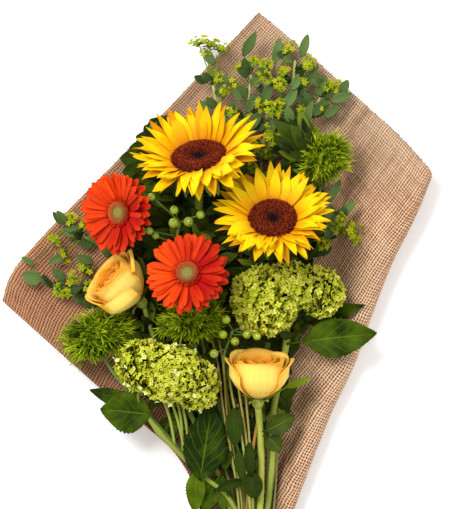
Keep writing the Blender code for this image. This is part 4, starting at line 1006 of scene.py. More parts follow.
def add_leaf(heap, stamps, joint, base, tip, width, tone, stalk, arch=0.12, wave=0.06, waves=2.5, up=(0, 0, 1),
             outline=LEAF_OUTLINE, fold=0.35, teeth=0, quilt=0.0):
    """A leaf from base to tip, with a thin stalk of that radius from its joint on the stem.

    stamps are the leaf's and the stalk's.
    """
    joint, base, tip = (np.asarray(p, float) for p in (joint, base, tip))
    length = float(np.linalg.norm(tip - base))
    out = unit(tip - base)
    side = unit(np.cross(out, np.asarray(up, float)))
    points = blade(stamps[0], base, out, np.cross(side, out), length * 1.02, width, outline, lean=arch * 1.6,
                   bend=-arch * 3.2, cup=fold, wave=wave * width, waves=waves, teeth=teeth, tooth=TOOTH, quilt=quilt)
    points[:, 2] = np.maximum(points[:, 2], CLOTH_TOP_FACE)
    heap.add(stamps[0], points, tone)
    route = [joint, (joint + base) / 2 + (0, 0, 1.0), base + out * min(4.0, length * 0.08)]
    heap.rod(stamps[1], route, (stalk, stalk * 0.8, stalk * 0.6), tone)


# Sunflowers. Each is its place, the disc's radius, the petals' length and width, how far they rise from the disc and
# how far that swings round it, in degrees, a seed and how far the petals at the top are shaded.

SUNFLOWERS = {
    "sunflower_1": (Frame((-26.5, 143, 92), facing(57, 101)), 28.5, 38.0, 15.5, 18, 26, 11, 1.0),
    "sunflower_2": (Frame((47.5, 81, 92), facing(39, 90)), 25.0, 36.0, 15.0, 14, 4, 23, 0.3),
}
# The rows of petals: turn, further rise in degrees, size, height and the share of the petals that are there.
SUN_ROWS = ((0.0, 3, 1.0, -1.2, 1.0), (0.5, -6, 1.0, -3.4, 1.0), (0.25, 10, 0.84, -0.2, 0.5))
BACK_ROW = 1
SEED_COUNT = 820
SEED_TABLES = (
    ((0, 0.6), (0.2, 0.9), (0.42, 1.8), (0.62, 3.0), (0.84, 2.4), (1.0, -0.2)),
    ((0, 0.8), (0.35, 0.9), (0.6, 1.9), (0.9, 2.3), (1.0, 1.6)),
    ((0, 0.62), (0.5, 0.74), (1, 0.84)),
)
SUN_BRACTS = 18
SUN_DROP = 15


def build_sun_petals(name, settings):
    """Rings of narrow pointed petals that bend, twist and curl one by one, shorter in front."""
    place, disc, length, width, rise, swing, seed, shaded = SUNFLOWERS[name]
    rng = random.Random(seed)
    stamp = leaf_stamp(8, 16)
    heap = Heap()
    count = settings.petals
    for row, (turn, more, size, height, share) in enumerate(SUN_ROWS):
        for k in range(count):
            if rng.random() > share:
                continue
            angle = math.tau * (k + turn + rng.uniform(-0.3, 0.3)) / count
            front = smooth(-math.sin(angle) * 1.4)
            out = place.out(angle)
            lean = math.radians(rise + swing * math.sin(angle) + more + rng.uniform(-7, 7))
            reach = (length + 4.0) * rng.uniform(0.86, 1.08) * size * (1 - 0.12 * front)
            start = place.origin + out * (disc - 2.0) + place.z * height
            ragged = 1 + 1.6 * front
            points = blade(
                stamp, start, out, place.z, reach, width * rng.uniform(0.6, 0.9), SUN_OUTLINE, lean=lean + 0.25,
                bend=rng.uniform(-0.7, -0.1), curl=rng.uniform(-0.5, 0.6) * ragged, cup=rng.uniform(0.0, 0.3),
                ridges=4, ridge=0.45, wave=rng.uniform(0.2, 0.9) * ragged, waves=1.4, phase=rng.uniform(0, 6.3),
                sway=rng.uniform(-0.12, 0.12), twist=rng.uniform(-0.4, 0.4) * ragged,
            )
            # The back row gets a lower tone and the petals at the top lose more of it: painted shade.
            tone = rng.uniform(0.0, 0.4) if row == BACK_ROW else rng.uniform(0.3, 1.0)
            heap.add(stamp, points, tone - 0.32 * shaded * smooth(math.sin(angle)))
    heap.piece(name + "_rays", sun_petal_finish(settings), "yellow_petal", (name + "_petals",), thickness=0.35)


def build_seed_disc(name):
    """Buds in golden-angle spirals over a low dome: dark in the middle, taller round the rim."""
    place, disc = SUNFLOWERS[name][:2]
    heap = Heap()
    add_spiral(heap, place, disc, SEED_COUNT, random.Random(3), SEED_TABLES, (3, 0.3, 1.5), 0.06)
    add_ball(heap, place, drop_stamp(32, 16), disc * 0.98, 2.4, 2.7, 0.05)
    heap.piece(name + "_seeds", seed_finish(), "seed_brown", (name + "_disc",))


def build_sun_stem(name):
    """The green cup under the disc, two rings of bracts and the stem."""
    place, disc, _, _, rise, swing, *_ = SUNFLOWERS[name]
    rng = random.Random(9)
    heap = Heap()
    add_ball(heap, place, drop_stamp(24, 12), disc * 0.9, 12.0, 10.2, 0.35, top=5.0)
    stamp = leaf_stamp(4, 8)
    for k in range(SUN_BRACTS):
        angle = math.tau * (k + rng.uniform(-0.2, 0.2)) / SUN_BRACTS
        out = place.out(angle)
        lean = math.radians(rise + swing * math.sin(angle) - 26 - 14 * (k % 2))
        start = place.origin + out * disc * 0.72 - place.z * (8.6 + 1.4 * (k % 2))
        points = blade(stamp, start, out, place.z, disc * 0.86, 9.5, LEAF_OUTLINE, lean=lean,
                       bend=rng.uniform(-0.6, 0.0), cup=0.3)
        heap.add(stamp, points, rng.uniform(0.2, 0.7))
    add_stem(heap, head_stem(name, place, SUN_DROP, LOW_LEVEL), 4.2, 0.5)
    heap.piece(name + "_green", stem_finish("sunflower_green", (40, 66, 6), (130, 148, 40)), "stem_green",
               (name + "_stem",))


# Gerberas. Each is its place, its radius, its stem's level, a seed and how far the petals are cupped, in degrees.

GERBERAS = {
    "gerbera_1": (Frame((-105.4, 87, 84), facing(35, 180)), 42.5, LOW_LEVEL, 5, 14),
    "gerbera_2": (Frame((-37.4, 27, 104), facing(22, 110)), 42.5, MIDDLE_LEVEL, 6, 6),
}
EYE_RADIUS = 11.0
EYE_COUNT = 300
EYE_TABLES = (
    ((0, 2.4), (0.35, 2.0), (0.6, 2.2), (0.85, 2.6), (1.0, 0.8)),
    ((0, 0.9), (0.55, 1.1), (0.7, 2.2), (1.0, 2.4)),
    ((0, 0.5), (1, 0.5)),
)
GERBERA_BRACTS = 16
GERBERA_DROP = 10


def build_gerbera(name, settings):
    """Three rings of narrow grooved rays round a ring of tiny florets and a domed eye."""
    place, radius, level, seed, cupped = GERBERAS[name]
    rng = random.Random(seed)
    stamp = grid_stamp(6, 10)
    heap = Heap()
    lit_side = unit((-0.8, 0.35, 0.5))
    # Each ring: its count, its share of the reach, the petals' width, height, lean and how far out they start.
    for count, share, width, height, lean, start in (
        (settings.rays, 1.0, 8.2, -2.6, 4, 11.5), (settings.rays + 4, 0.95, 7.0, -1.4, 10, 11.0),
        (settings.rays // 2, 0.86, 5.4, -0.6, 14, 10.8), (settings.rays + 8, 0.17, 2.0, 0.2, 30, 10.4),
    ):
        for k in range(count):
            angle = math.tau * (k + rng.uniform(-0.3, 0.3)) / count + share * 5
            out = place.out(angle)
            reach = (radius - start) * share * rng.uniform(0.93, 1.03)
            lit = 0.42 + 0.6 * np.dot(out, lit_side) + rng.uniform(-0.25, 0.25)
            lit -= 0.3 * (share < 0.3)
            base = place.origin + out * start + place.z * height
            points = blade(
                stamp, base, out, place.z, reach, width * rng.uniform(0.85, 1.08), GERBERA_OUTLINE,
                lean=math.radians(lean + cupped + rng.uniform(-5, 5)), bend=rng.uniform(-0.35, 0.05),
                curl=rng.uniform(-0.15, 0.2), cup=rng.uniform(0.15, 0.4), ridges=2, ridge=0.3,
                twist=rng.uniform(-0.25, 0.25), sway=rng.uniform(-0.06, 0.06),
            )
            heap.add(stamp, points, lit)
    heap.piece(name + "_rays", gerbera_finish(settings), "orange_petal", (name + "_petals",), thickness=0.3)

    heap = Heap()
    add_spiral(heap, place, EYE_RADIUS, EYE_COUNT, rng, EYE_TABLES, (2, 0.2, 1.6), 0.08)
    add_ball(heap, place, drop_stamp(20, 10), EYE_RADIUS * 0.97, 3.6, 0.6, 0.3)
    heap.piece(name + "_heart", gerbera_eye_finish(), "gerbera_eye", (name + "_eye",))

    heap = Heap()
    leaf = leaf_stamp(2, 4)
    for k in range(GERBERA_BRACTS):
        out = place.out(math.tau * k / GERBERA_BRACTS)
        points = blade(leaf, place.at(0, 0, -11) + out * 3, out, place.z, 9.5, 3.0, LEAF_OUTLINE, lean=0.75, bend=-0.4)
        heap.add(leaf, points, 0.3)
    add_ball(heap, place, drop_stamp(16, 8), 9.0, 6.0, 8.6, 0.35)
    add_stem(heap, head_stem(name, place, GERBERA_DROP, level), 2.4, 0.55)
    heap.piece(name + "_green", stem_finish("gerbera_green", (56, 84, 26), (142, 160, 76)), "stem_green",
               (name + "_stem",))


# Roses. Each is its place, its radius and height, a seed, its stem's radius and level, its leaflets (base, tip,
# width) and its outer petals (turn, half span, height, width, tone, flare).
ROSES = {
    "rose_1": (Frame((-88, 1.5, 48), facing(70, 141)), 28.5, 46.0, 31, 2.6, MIDDLE_LEVEL, (),
               ((1.35, 0.8, 0.95, 1.03, 0.75, 0.26), (-0.62, 0.82, 0.62, 1.06, 1.25, 0.03),
                (-1.75, 0.8, 0.92, 1.04, 0.6, 0.15), (2.9, 0.9, 0.93, 1.03, 0.8, 0.15))),
    "rose_2": (Frame((33, -96, 55), facing(73, 88)), 29.0, 45.0, 32, 3.5, HIGH_LEVEL,
               (((41, -131, 42), (70, -115, 45), 22), ((43, -136, 41), (56, -151, 43), 18),
                ((60, -87, 50), (87, -77, 52), 8)),
               ((-1.4, 0.78, 0.95, 1.04, 1.25, 0.2), (1.5, 0.78, 0.96, 1.04, 0.9, 0.2),
                (3.1, 0.9, 0.97, 1.03, 0.8, 0.2))),
}
# The cups from the heart outwards: petals, width, height, flare, half span, tuck, ruffle, tone and how far they close.
ROSE_CUPS = (
    (3, 0.17, 0.80, -0.10, 1.5, 0.10, 0.8, -0.2, 0.35), (3, 0.30, 0.82, -0.05, 1.35, 0.10, 1.3, -0.2, 0.25),
    (4, 0.43, 0.85, 0.00, 1.15, 0.09, 2.0, -0.1, 0.1), (4, 0.56, 0.88, 0.03, 1.1, 0.07, 2.0, 0.1, 0.03),
    (4, 0.69, 0.92, 0.05, 1.05, 0.06, 1.8, 0.35, 0.0), (3, 0.82, 0.95, 0.07, 1.25, 0.05, 1.3, 0.65, 0.0),
    (3, 0.93, 0.95, 0.10, 1.2, 0.04, 1.1, 1.0, 0.0),
)
ROSE_PROFILE = ((0, 0.30), (0.12, 0.55), (0.3, 0.82), (0.5, 0.98), (0.72, 1.0), (0.88, 0.97), (1.0, 0.95))
ROSE_DROP = 9


def rose_petal(stamp, place, angle, span, radius, height, flare, tuck, ruffle, phase, tight):
    """Points of one petal of a cup, with one edge tucked in, its rim ruffled and rolled out."""
    c, t = stamp.u, stamp.v
    profile = rows_of(ROSE_PROFILE, t) * (1 - tight * t * t)
    rim = np.clip((t - 0.72) / 0.28, 0, 1)
    narrow = 0.55 + 0.45 * np.sin(math.pi * np.clip(t + 0.22, 0.1, 0.62))
    turn = angle + span * c * narrow
    reach = radius * profile * (1 + tuck * c) + radius * flare * rim**2 * (1 + 0.3 * c * c)
    reach = reach + ruffle * np.sin(3.1 * c + phase) * t**5
    top = height * (t - 0.13 * c * c * t - flare * 0.5 * rim**3) + ruffle * 0.6 * np.sin(4.3 * c + phase) * rim
    top = top - height * 0.05 * np.abs(c) ** 3 * t
    return place.place(np.column_stack([np.cos(turn) * reach, np.sin(turn) * reach, top + 0.5]))


def build_rose(name, settings):
    """A half-open bloom: a tight spiral heart inside ever wider cups, and a few outer petals set one by one."""
    place, radius, height, seed, thick, level, leaflets, outer = ROSES[name]
    rng = random.Random(seed)
    stamp = grid_stamp(16, 14)
    heap = Heap()
    front = math.atan2(place.y[2], place.x[2])
    for number, (count, wide, tall, flare, span, tuck, ruffle, tone, tight) in enumerate(ROSE_CUPS):
        for k in range(count):
            angle = front + math.tau * (k + 0.37 * (number - 6)) / count + rng.uniform(-0.1, 0.1)
            points = rose_petal(stamp, place, angle, span, radius * wide, height * tall * rng.uniform(0.96, 1.03),
                                flare * rng.uniform(0.85, 1.15), tuck, ruffle, rng.uniform(0, 6.3), tight)
            heap.add(stamp, points, tone + rng.uniform(-0.12, 0.12))
    for turn, span, tall, wide, tone, flare in outer:
        points = rose_petal(stamp, place, front + turn, span, radius * wide, height * tall, flare, 0.03, 1.0,
                            rng.uniform(0, 6.3), 0.0)
        heap.add(stamp, points, tone)
    heap.piece(name + "_bloom", rose_finish(settings), "rose_petal", (name + "_petals",), thickness=0.3)

    heap = Heap()
    add_ball(heap, place, drop_stamp(16, 10), 6.0, 6.6, 6.4, 0.6)
    sepal = leaf_stamp(4, 10)
    for k in range(5):
        out = place.out(math.tau * (k + 0.3) / 5)
        start = place.at(0, 0, -4.6) + out * 3.6
        points = blade(sepal, start, out, place.z, 14, 6.5, LEAF_OUTLINE, lean=0.3 - 0.2 * (k % 2), bend=0.2,
                       curl=-0.8, cup=0.35, twist=rng.uniform(-0.4, 0.4))
        heap.add(sepal, points, 0.6)
    fine = add_stem(heap, head_stem(name, place, ROSE_DROP, level), thick, 0.7, nodes=(0.42, 0.63))
    heap.piece(name + "_green", stem_finish("rose_green", (78, 98, 18), (178, 184, 76)), "stem_green",
               (name + "_stem",))
    if leaflets:
        heap = Heap()
        stamps = leaf_stamp(10, 16), rod_stamp(5, 6)
        for base, tip, width in leaflets:
            tone = 1.0 if width < 10 else 0.12
            add_leaf(heap, stamps, nearest(fine, base), base, tip, width, tone, 0.9, teeth=9)
        heap.piece(name + "_leaflets", leafy_finish("rose_leaf", (22, 42, 4), (118, 136, 22), 0.55), "dark_leaf",
                   thickness=0.4)


# Hydrangeas. Each head is a few overlapping lobes (centre, radii), the florets' size and how close they sit, and a
# seed. Head 2 has small buds among which a few pale florets are open.

HYDRANGEAS = {
    "hydrangea_1": ((((40, 0, 52), (34, 34, 24)), ((66, 14, 46), (28, 24, 22)), ((96, 8, 46), (22, 25, 18))),
                    7.6, 0.4, 41),
    "hydrangea_2": ((((-81, -65, 58), (29, 26, 22)), ((-52, -74, 61), (34, 29, 24)), ((-28, -84, 56), (22, 26, 20))),
                    4.8, 0.48, 42),
}
# Each stem: its start, its way out, its level, its lead, radius, tone, and where its nodes are and how thick.
HYDRANGEA_STEMS = {
    "hydrangea_1": ((60, -2, 42), (0.05, -0.7, -0.7), MIDDLE_LEVEL, 8, 3.3, 0.75, (0.13, 0.55), 1.25),
    "hydrangea_2": ((-84, -107, 40), (0.5, -0.8, -0.1), HIGH_LEVEL, 0, 2.5, 0.6, (0.12, 0.35), 1.5),
}
# Each leaf: its joint, or None for the nearest point of the stem, its base, tip, width, arch and tone.
HYDRANGEA_LEAVES = {
    "hydrangea_1": (((62, -44, 33), (79, -41, 37), (151, -33, 43), 40, 0.12, 0.25),
                    ((62, -44, 31), (80, -23, 16), (139, -5, 39), 20, 0.02, 0.2)),
    "hydrangea_2": ((None, (-74, -114, 43), (-124, -109, 37), 43, 0.08, 0.2),
                    (None, (-90, -104, 31), (-135, -90, 29), 18, 0.08, 0.1),
                    (None, (-25, -180, 41), (-13, -104, 42), 44, 0.08, -0.05),
                    (None, (-29, -170, 38), (-30, -213, 34), 20, 0.08, 0.45),
                    (None, (-8, -176, 33), (-22, -214, 30), 20, 0.08, 0.08),
                    (None, (-4, -174, 34), (-1, -212, 32), 13, 0.08, 0.3)),
}
FLORET_WAYS = 3400
CORE_DEPTH = 9.5
# Short stalks that hang below head 2, from top to foot.
HANGING_STALKS = (((-58, -88, 44), (-39, -158, 37)), ((-44, -98, 39), (-36, -161, 37)),
                  ((-64, -92, 42), (-50, -146, 38)), ((-50, -90, 42), (-42, -150, 38)))


def reach_of(ways, middle, lobes):
    """How far the skin of overlapping ellipsoids lies from a middle point, along directions."""
    best = np.full(len(ways), 1.0)
    for centre, radii in lobes:
        d, m = ways / radii, (middle - centre) / radii
        a, b, c = (d * d).sum(axis=1), 2 * d @ m, float(m @ m) - 1
        inside = b * b - 4 * a * c
        hit = (-b + np.sqrt(np.maximum(inside, 0))) / (2 * a)
        best = np.where((inside > 0) & (hit > best), hit, best)
    return best


def spread_out(skin, gap):
    """Points of a skin, each the farthest from those before it, until they are closer than gap."""
    away = np.full(len(skin), 1e9)
    chosen = [0]
    while True:
        away = np.minimum(away, np.linalg.norm(skin - skin[chosen[-1]], axis=1))
        far = int(away.argmax())
        if away[far] < gap:
            return chosen
        chosen.append(far)


def build_hydrangea_head(name):
    """Hundreds of four-petalled florets over a dark knobbly core that stands in for the shade deep in the head."""
    lobes, size, closeness, seed = HYDRANGEAS[name]
    rng = random.Random(seed)
    small = name == "hydrangea_2"
    lobes = [(np.array(c, float), np.array(r, float)) for c, r in lobes]
    middle = np.mean([c for c, _ in lobes], axis=0)
    big, tiny = floret_stamp(4, 0.34, -0.5), floret_stamp(4, 0.36, 0.3)
    bud = bud_stamp(1)
    heap = Heap()
    ways = even_ways(FLORET_WAYS)
    skin = middle + ways * reach_of(ways, middle, lobes)[:, None]
    chosen = spread_out(skin, size * closeness)
    for k in chosen:
        outward = unit(skin[k] - middle)
        normal = unit(outward + (0, 0, 0.25) + scatter(rng, 0.9))
        lump = noise.noise(Vector(skin[k] * 0.13)) * 1.6
        sink = rng.uniform(-0.8, 2.0) + 1.2 - 2.6 * lump
        pale = small and rng.random() < 0.055 and skin[k][2] > 52
        across = 7.2 if pale else size * rng.uniform(0.9, 1.35)
        stand = Frame(skin[k] - outward * (-0.8 if pale else sink), normal,
                      (rng.uniform(-1, 1), rng.uniform(-1, 1), 0.3))
        # Florets that sit deeper get a darker tone, painted shade; those of head 2 are darker overall and more so
        # toward its left.
        shade = 0.94 - sink * 0.09 + rng.uniform(-0.16, 0.16)
        if small:
            shade -= 0.22 * smooth((-70 - skin[k][0]) / 30) + 0.06
        stamp = tiny if small and not pale else big
        heap.add(stamp, stand.place(stamp.points * across), 1.1 if pale else min(shade, 0.88))
        if rng.random() < 0.5:
            heap.add(bud, stand.place(bud.points * 0.075 * across + (0, 0, 0.5)), 0.35)
    # A layer of dark florets beneath the others, painted shade inside the head.
    for k in chosen[::3]:
        outward = unit(skin[k] - middle)
        stand = Frame(skin[k] - outward * 5.0, outward, (rng.uniform(-1, 1), rng.uniform(-1, 1), 0.3))
        heap.add(tiny, stand.place(tiny.points * size * 1.5), 0.12)
    heap.piece(name + "_florets", floret_finish(), "floret_green", (name + "_head",))
    # The dark core fills the gaps between the florets as painted shade.
    core = Heap()
    ball = bud_stamp(3)
    for centre, radii in lobes:
        core.add(ball, ball.points * (radii - CORE_DEPTH) + centre, -0.3)
    core.piece(name + "_core", stem_finish("floret_shade", (16, 24, 0), (34, 46, 4), 0.9), "floret_green")


def build_hydrangea_green(name):
    """The stem and the broad toothed leaves; under head 2 also its stub and its hanging stalks."""
    start, leave, level, lead, radius, tone, nodes, knots = HYDRANGEA_STEMS[name]
    stalks, leaves = Heap(), Heap()
    stalk, stamp = rod_stamp(6, 12), leaf_stamp(16, 28)
    path = stem_path(start, leave, level, name, lead=lead)
    fine = add_stem(stalks, path, radius, tone, nodes=nodes, knots=knots)
    if name == "hydrangea_2":
        stalks.rod(stalk, [path[0], (-87, -98, 44), (-82, -84, 52)], (2.3, 2.0, 1.8), 0.5)
        for top, foot in HANGING_STALKS:
            stalks.rod(stalk, [top, np.add(top, foot) / 2 + (2, 0, 0), foot], (1.7, 1.5, 1.6), 0.9)
    for joint, base, tip, width, arch, tone in HYDRANGEA_LEAVES[name]:
        joint = joint or nearest(fine, base)
        add_leaf(leaves, (stamp, stalk), joint, base, tip, width, tone, 1.4, arch=arch, wave=0.075, waves=2.7,
                 teeth=13, quilt=0.085 * width, fold=0.2)
    stalks.piece(name + "_stalks", stem_finish("hydrangea_green", (74, 96, 20), (160, 170, 70)), "stem_green",
                 (name + "_stem",))
    finish = leafy_finish("broad_leaf", (24, 42, 2), (104, 132, 12), 0.58, vein=0.36, side_veins=6.0, gloss=0.06,
                          mottle=1.1)
    leaves.piece(name + "_leaves", finish, "dark_leaf", thickness=0.5)


# Dense fuzzy heads of grass-like needles. Each is its centre, radii, turn in the plan, its stem's level and a seed.
FUZZY_HEADS = {
    "green_trick_1": ((98, 143, 42), (31, 25, 24), 0.1, LOW_LEVEL, 51),
    "green_trick_2": ((-128, -35, 38), (42, 27, 22), 0.35, MIDDLE_LEVEL, 52),
    "green_trick_3": ((-34, -18, 57), (35, 26, 21), 0.2, HIGH_LEVEL, 53),
}
TUFTS = 130


def fuzzy_head_stem(name):
    """The path of the stem under a fuzzy head."""
    centre, radii, _, level, _ = FUZZY_HEADS[name]
    start = np.array(centre) - np.array([0, 0.30, 0.40]) * radii
    return stem_path(start, (0.0, -0.75, -0.65), level, name, lead=16)


def build_fuzzy_head(name, settings):
    """Tufts of curved needles that fan out of a dark core, a ball of painted shade deep in the head."""
    centre, radii, turn, _, seed = FUZZY_HEADS[name]
    centre, radii = np.array(centre, float), np.array(radii, float)
    rng = random.Random(seed)
    c, s = math.cos(turn), math.sin(turn)
    swing = np.array([[c, -s, 0], [s, c, 0], [0, 0, 1]])
    stamp = leaf_stamp(2, 5)
    heap = Heap()
    for way in even_ways(TUFTS):
        size = 0.86 + 0.35 * noise.noise(Vector(way * 2.6) + Vector((seed, 0, 0)))
        root = swing @ (way * radii * 0.6 * size) + centre
        heading = unit(unit(swing @ (way * radii)) + scatter(rng, 0.6))
        bend = rng.uniform(-1.3, 1.3)
        pale = rng.uniform(-0.1, 0.75)
        for _ in range(settings.needles):
            out = unit(heading + scatter(rng, 0.5))
            reach = 1 / np.linalg.norm(swing.T @ out / radii)
            start = root + scatter(rng, 2.4)
            length = max(8.0, reach * rng.uniform(0.44, 0.64) * size)
            face_up = unit(np.cross(out, scatter(rng, 1)))
            points = blade(stamp, start, out, face_up, length, 1.55, NEEDLE_OUTLINE,
                           bend=bend + rng.uniform(-0.6, 0.6), cup=0.5)
            heap.add(stamp, points, pale + rng.uniform(0.0, 0.35))
    # A dark ball inside the needles, painted shade deep in the head.
    ball = bud_stamp(3)
    heap.add(ball, ball.points * radii * 0.55 @ swing.T + centre, -0.3)
    heap.piece(name + "_needles", needle_finish(), "fuzzy_green", (name,))
    heap = Heap()
    add_stem(heap, fuzzy_head_stem(name), 1.8, 0.5)
    heap.piece(name + "_stalk", stem_finish("fuzzy_stem", (60, 92, 30), (140, 166, 76)), "stem_green")


# Berries. Each spray is its stem's route, its berries (place, radius) and its level.
BERRIES = {
    "hypericum_1": (((-45, 78, 60), (-48, 50, 45), (-57, 20, 26), (-28, -90, 24)),
                    ((-50.5, 90, 84, 4.5), (-51, 77, 82, 5.5), (-36, 78, 84, 5.3), (-24, 85, 84, 4.5),
                     (-73, 103, 78, 4.0), (-82, 69, 74, 3.7), (-75, 69, 77, 3.8), (-69, 64, 74, 3.6)),
                    MIDDLE_LEVEL),
    "hypericum_2": (((8, -30, 60), (-1, -58, 38), (2, -96, 33)),
                    ((1, -19, 72, 4.5), (18, -27, 74, 3.8), (-2, -34, 70, 4.5), (22, -34, 74, 4.4),
                     (10, -41, 74, 4.5), (32, -36, 78, 4.0), (-11, -53, 84, 4.6)),
                    HIGH_LEVEL),
}
BROWN_BERRY_X = 18


def build_hypericum(name, settings):
    """Egg-shaped berries on thin stalks, each in a collar of five small sepals."""
    route, berries, level = BERRIES[name]
    rng = random.Random(5)
    path = stem_path(route[0], (0, -1, -0.4), level, name, way=route[1:], lead=0)
    fruit, green = Heap(), Heap()
    drop = drop_stamp(16, 12)
    stalk, sepal = rod_stamp(5, 8), leaf_stamp(2, 5)
    fine = add_stem(green, path, 1.5, 0.6)
    for x, y, z, radius in berries:
        centre = np.array([x, y, z])
        joint = nearest(fine, centre - (0, 14, 8))
        way = unit(centre - joint + (0, 0, 9) + scatter(rng, 3))
        stand = Frame(centre, way)
        shape = drop.points.copy()
        shape[:, :2] *= 1 - 0.16 * shape[:, 2:3]
        tone = 0.1 if name == "hypericum_2" and x == BROWN_BERRY_X else rng.uniform(0.55, 1.0)
        fruit.add(drop, stand.place(shape * radius * (0.96, 0.96, 1.08)), tone)
        foot = stand.at(0, 0, -radius)
        green.rod(stalk, [joint, (joint + foot) / 2 + (0, 0, 2), foot], (0.9, 0.7, 0.8), 0.6)
        for k in range(5):
            points = blade(sepal, foot + stand.z * 0.2, stand.out(math.tau * k / 5), stand.z, radius * 1.35,
                           radius * 0.75, OVAL_OUTLINE, lean=0.2, bend=0.9, cup=0.3)
            green.add(sepal, points, 0.5)
    fruit.piece(name + "_berries", berry_finish(settings), "berry_green", (name,))
    green.piece(name + "_stalks", stem_finish("berry_stalk", (62, 90, 30), (132, 156, 66)), "stem_green")


# Leafy sprays with umbels. Each is its stem's route, its leaves (base, tip, width), its umbels (place, size), how low
# it carries small leaves and a seed.

SPRAYS = {
    "bupleurum_1": (
        ((-12, 215, 20), (-8, 190, 10), (0, 150, 6), (6, 40, SPRAY_LEVEL)),
        ((-12, 236, 24, -20, 250, 9),),
        ((-15, 254, 26, 9), (-9, 221, 22, 8), (8, 216, 22, 7), (-26, 256, 27, 9), (-5, 250, 25, 9),
         (-19, 246, 24, 7)), 110, 61),
    "bupleurum_2": (
        ((26, 226, 20), (22, 200, 10), (20, 150, 6), (16, 40, SPRAY_LEVEL)),
        ((18, 244, 22, 31, 268, 10), (22, 170, 16, 36, 188, 11), (16, 199, 20, 7, 213, 7.5),
         (21, 188, 14, 34, 206, 11)),
        ((14, 231, 22, 6), (30, 238, 24, 7)), 110, 62),
    "bupleurum_3": (
        ((47, 222, 20), (44, 200, 10), (38, 150, 6), (27, 40, SPRAY_LEVEL)),
        ((38, 197, 22, 47, 218, 10), (42, 165, 22, 51, 182, 9), (50, 236, 24, 55, 262, 10)),
        ((47, 190, 28, 9), (47, 160, 34, 8), (42, 234, 26, 7)), 110, 63),
    "bupleurum_4": (
        ((70, 240, 22), (68, 212, 12), (62, 150, 6), (38, 40, SPRAY_LEVEL)),
        ((76, 243, 24, 83, 266, 9), (60, 192, 20, 72, 214, 10), (66, 210, 24, 78, 228, 9),
         (66, 177, 20, 62, 194, 10)),
        ((64, 250, 26, 8), (60, 229, 22, 7)), 110, 64),
    "bupleurum_5": (
        ((100, 214, 26), (90, 190, 20), (78, 158, 8), (50, 40, SPRAY_LEVEL)),
        ((80, 212, 26, 93, 236, 9), (92, 204, 30, 101, 225, 9), (116, 207, 32, 123, 220, 9),
         (106, 199, 34, 127, 206, 9), (88, 184, 26, 104, 203, 10), (99, 183, 30, 115, 195, 9),
         (76, 166, 22, 88, 200, 9)),
        ((109, 214, 34, 7),), 110, 65),
    "bupleurum_6": (
        ((-158, 72, 16), (-136, 64, 8), (-90, 20, SPRAY_LEVEL)),
        ((-160, 70, 18, -145, 73, 6), (-162, 44, 14, -177, 37, 8), (-192, 36, 14, -204, 43, 6)),
        ((-155, 80, 20, 7), (-170, 62, 20, 7), (-160, 46, 16, 8)), -30, 66),
    "bupleurum_7": (
        ((-172, 12, 12), (-154, 4, 8), (-128, -6, SPRAY_LEVEL), (-60, -90, SPRAY_LEVEL)),
        ((-184, 20, 14, -203, 25, 15), (-160, 20, 14, -173, 31, 10), (-132, 38, 16, -150, 44, 9)),
        ((-161, 10, 16, 10), (-141, 30, 18, 9)), -30, 67),
    "bupleurum_8": (
        ((112, 82, 24), (98, 62, 10), (78, 20, SPRAY_LEVEL), (58, -60, SPRAY_LEVEL)),
        ((104, 98, 24, 115, 120, 9), (118, 88, 27, 131, 98, 9), (100, 62, 22, 119, 88, 14)),
        ((126, 68, 32, 10),), 35, 68),
}


def add_umbel(heap, stamps, joint, place, size, rng):
    """A stalk that opens into rays, each with yellow-green buds in a star of pointed bracts."""
    stalk, bud, bract = stamps
    place = np.asarray(place, float)
    stand = Frame(place - (0, 0, size * 0.45), unit(place - joint + (0, 0, 12.0)))
    middle = stand.origin
    heap.rod(stalk, [joint, (joint + middle) / 2 + (0, 0, 1.5), middle], (0.8, 0.6, 0.55), 0.3)
    for k in range(5):
        out = stand.out(math.tau * k / 5 + size)
        points = blade(bract, middle, out, stand.z, size * 0.8, size * 0.42, OVAL_OUTLINE, lean=0.2, bend=-0.3)
        heap.add(bract, points, 0.15)
    for k in range(8):
        angle = math.tau * k / 7 + rng.uniform(-0.3, 0.3)
        out = stand.out(angle) * (0.0 if k == 7 else 1.0)
        end = middle + out * size * rng.uniform(0.45, 0.85) + stand.z * size * rng.uniform(0.35, 0.65)
        heap.rod(stalk, [middle, (middle + end) / 2 + stand.z * 0.4, end], (0.35, 0.3, 0.3), 0.4)
        tone = rng.uniform(0.2, 0.65)
        star = Frame(end, unit(stand.z + out * 0.5 + scatter(rng, 0.3)))
        for j in range(5):
            points = blade(bract, end, star.out(math.tau * j / 5 + k), star.z, size * rng.uniform(0.34, 0.48),
                           size * 0.24, OVAL_OUTLINE, lean=0.45, bend=-0.5)
            heap.add(bract, points, tone)
        for j in range(4):
            spot = star.at(*(rng.uniform(-1, 1) * size * 0.09 for _ in range(2)), size * 0.1)
            heap.add(bud, bud.points * size * rng.uniform(0.045, 0.07) + spot, tone + rng.uniform(0.2, 0.6))


def tilted(rng):
    """A direction near straight up."""
    return unit((rng.uniform(-0.5, 0.5), rng.uniform(-0.5, 0.5), 1.0))


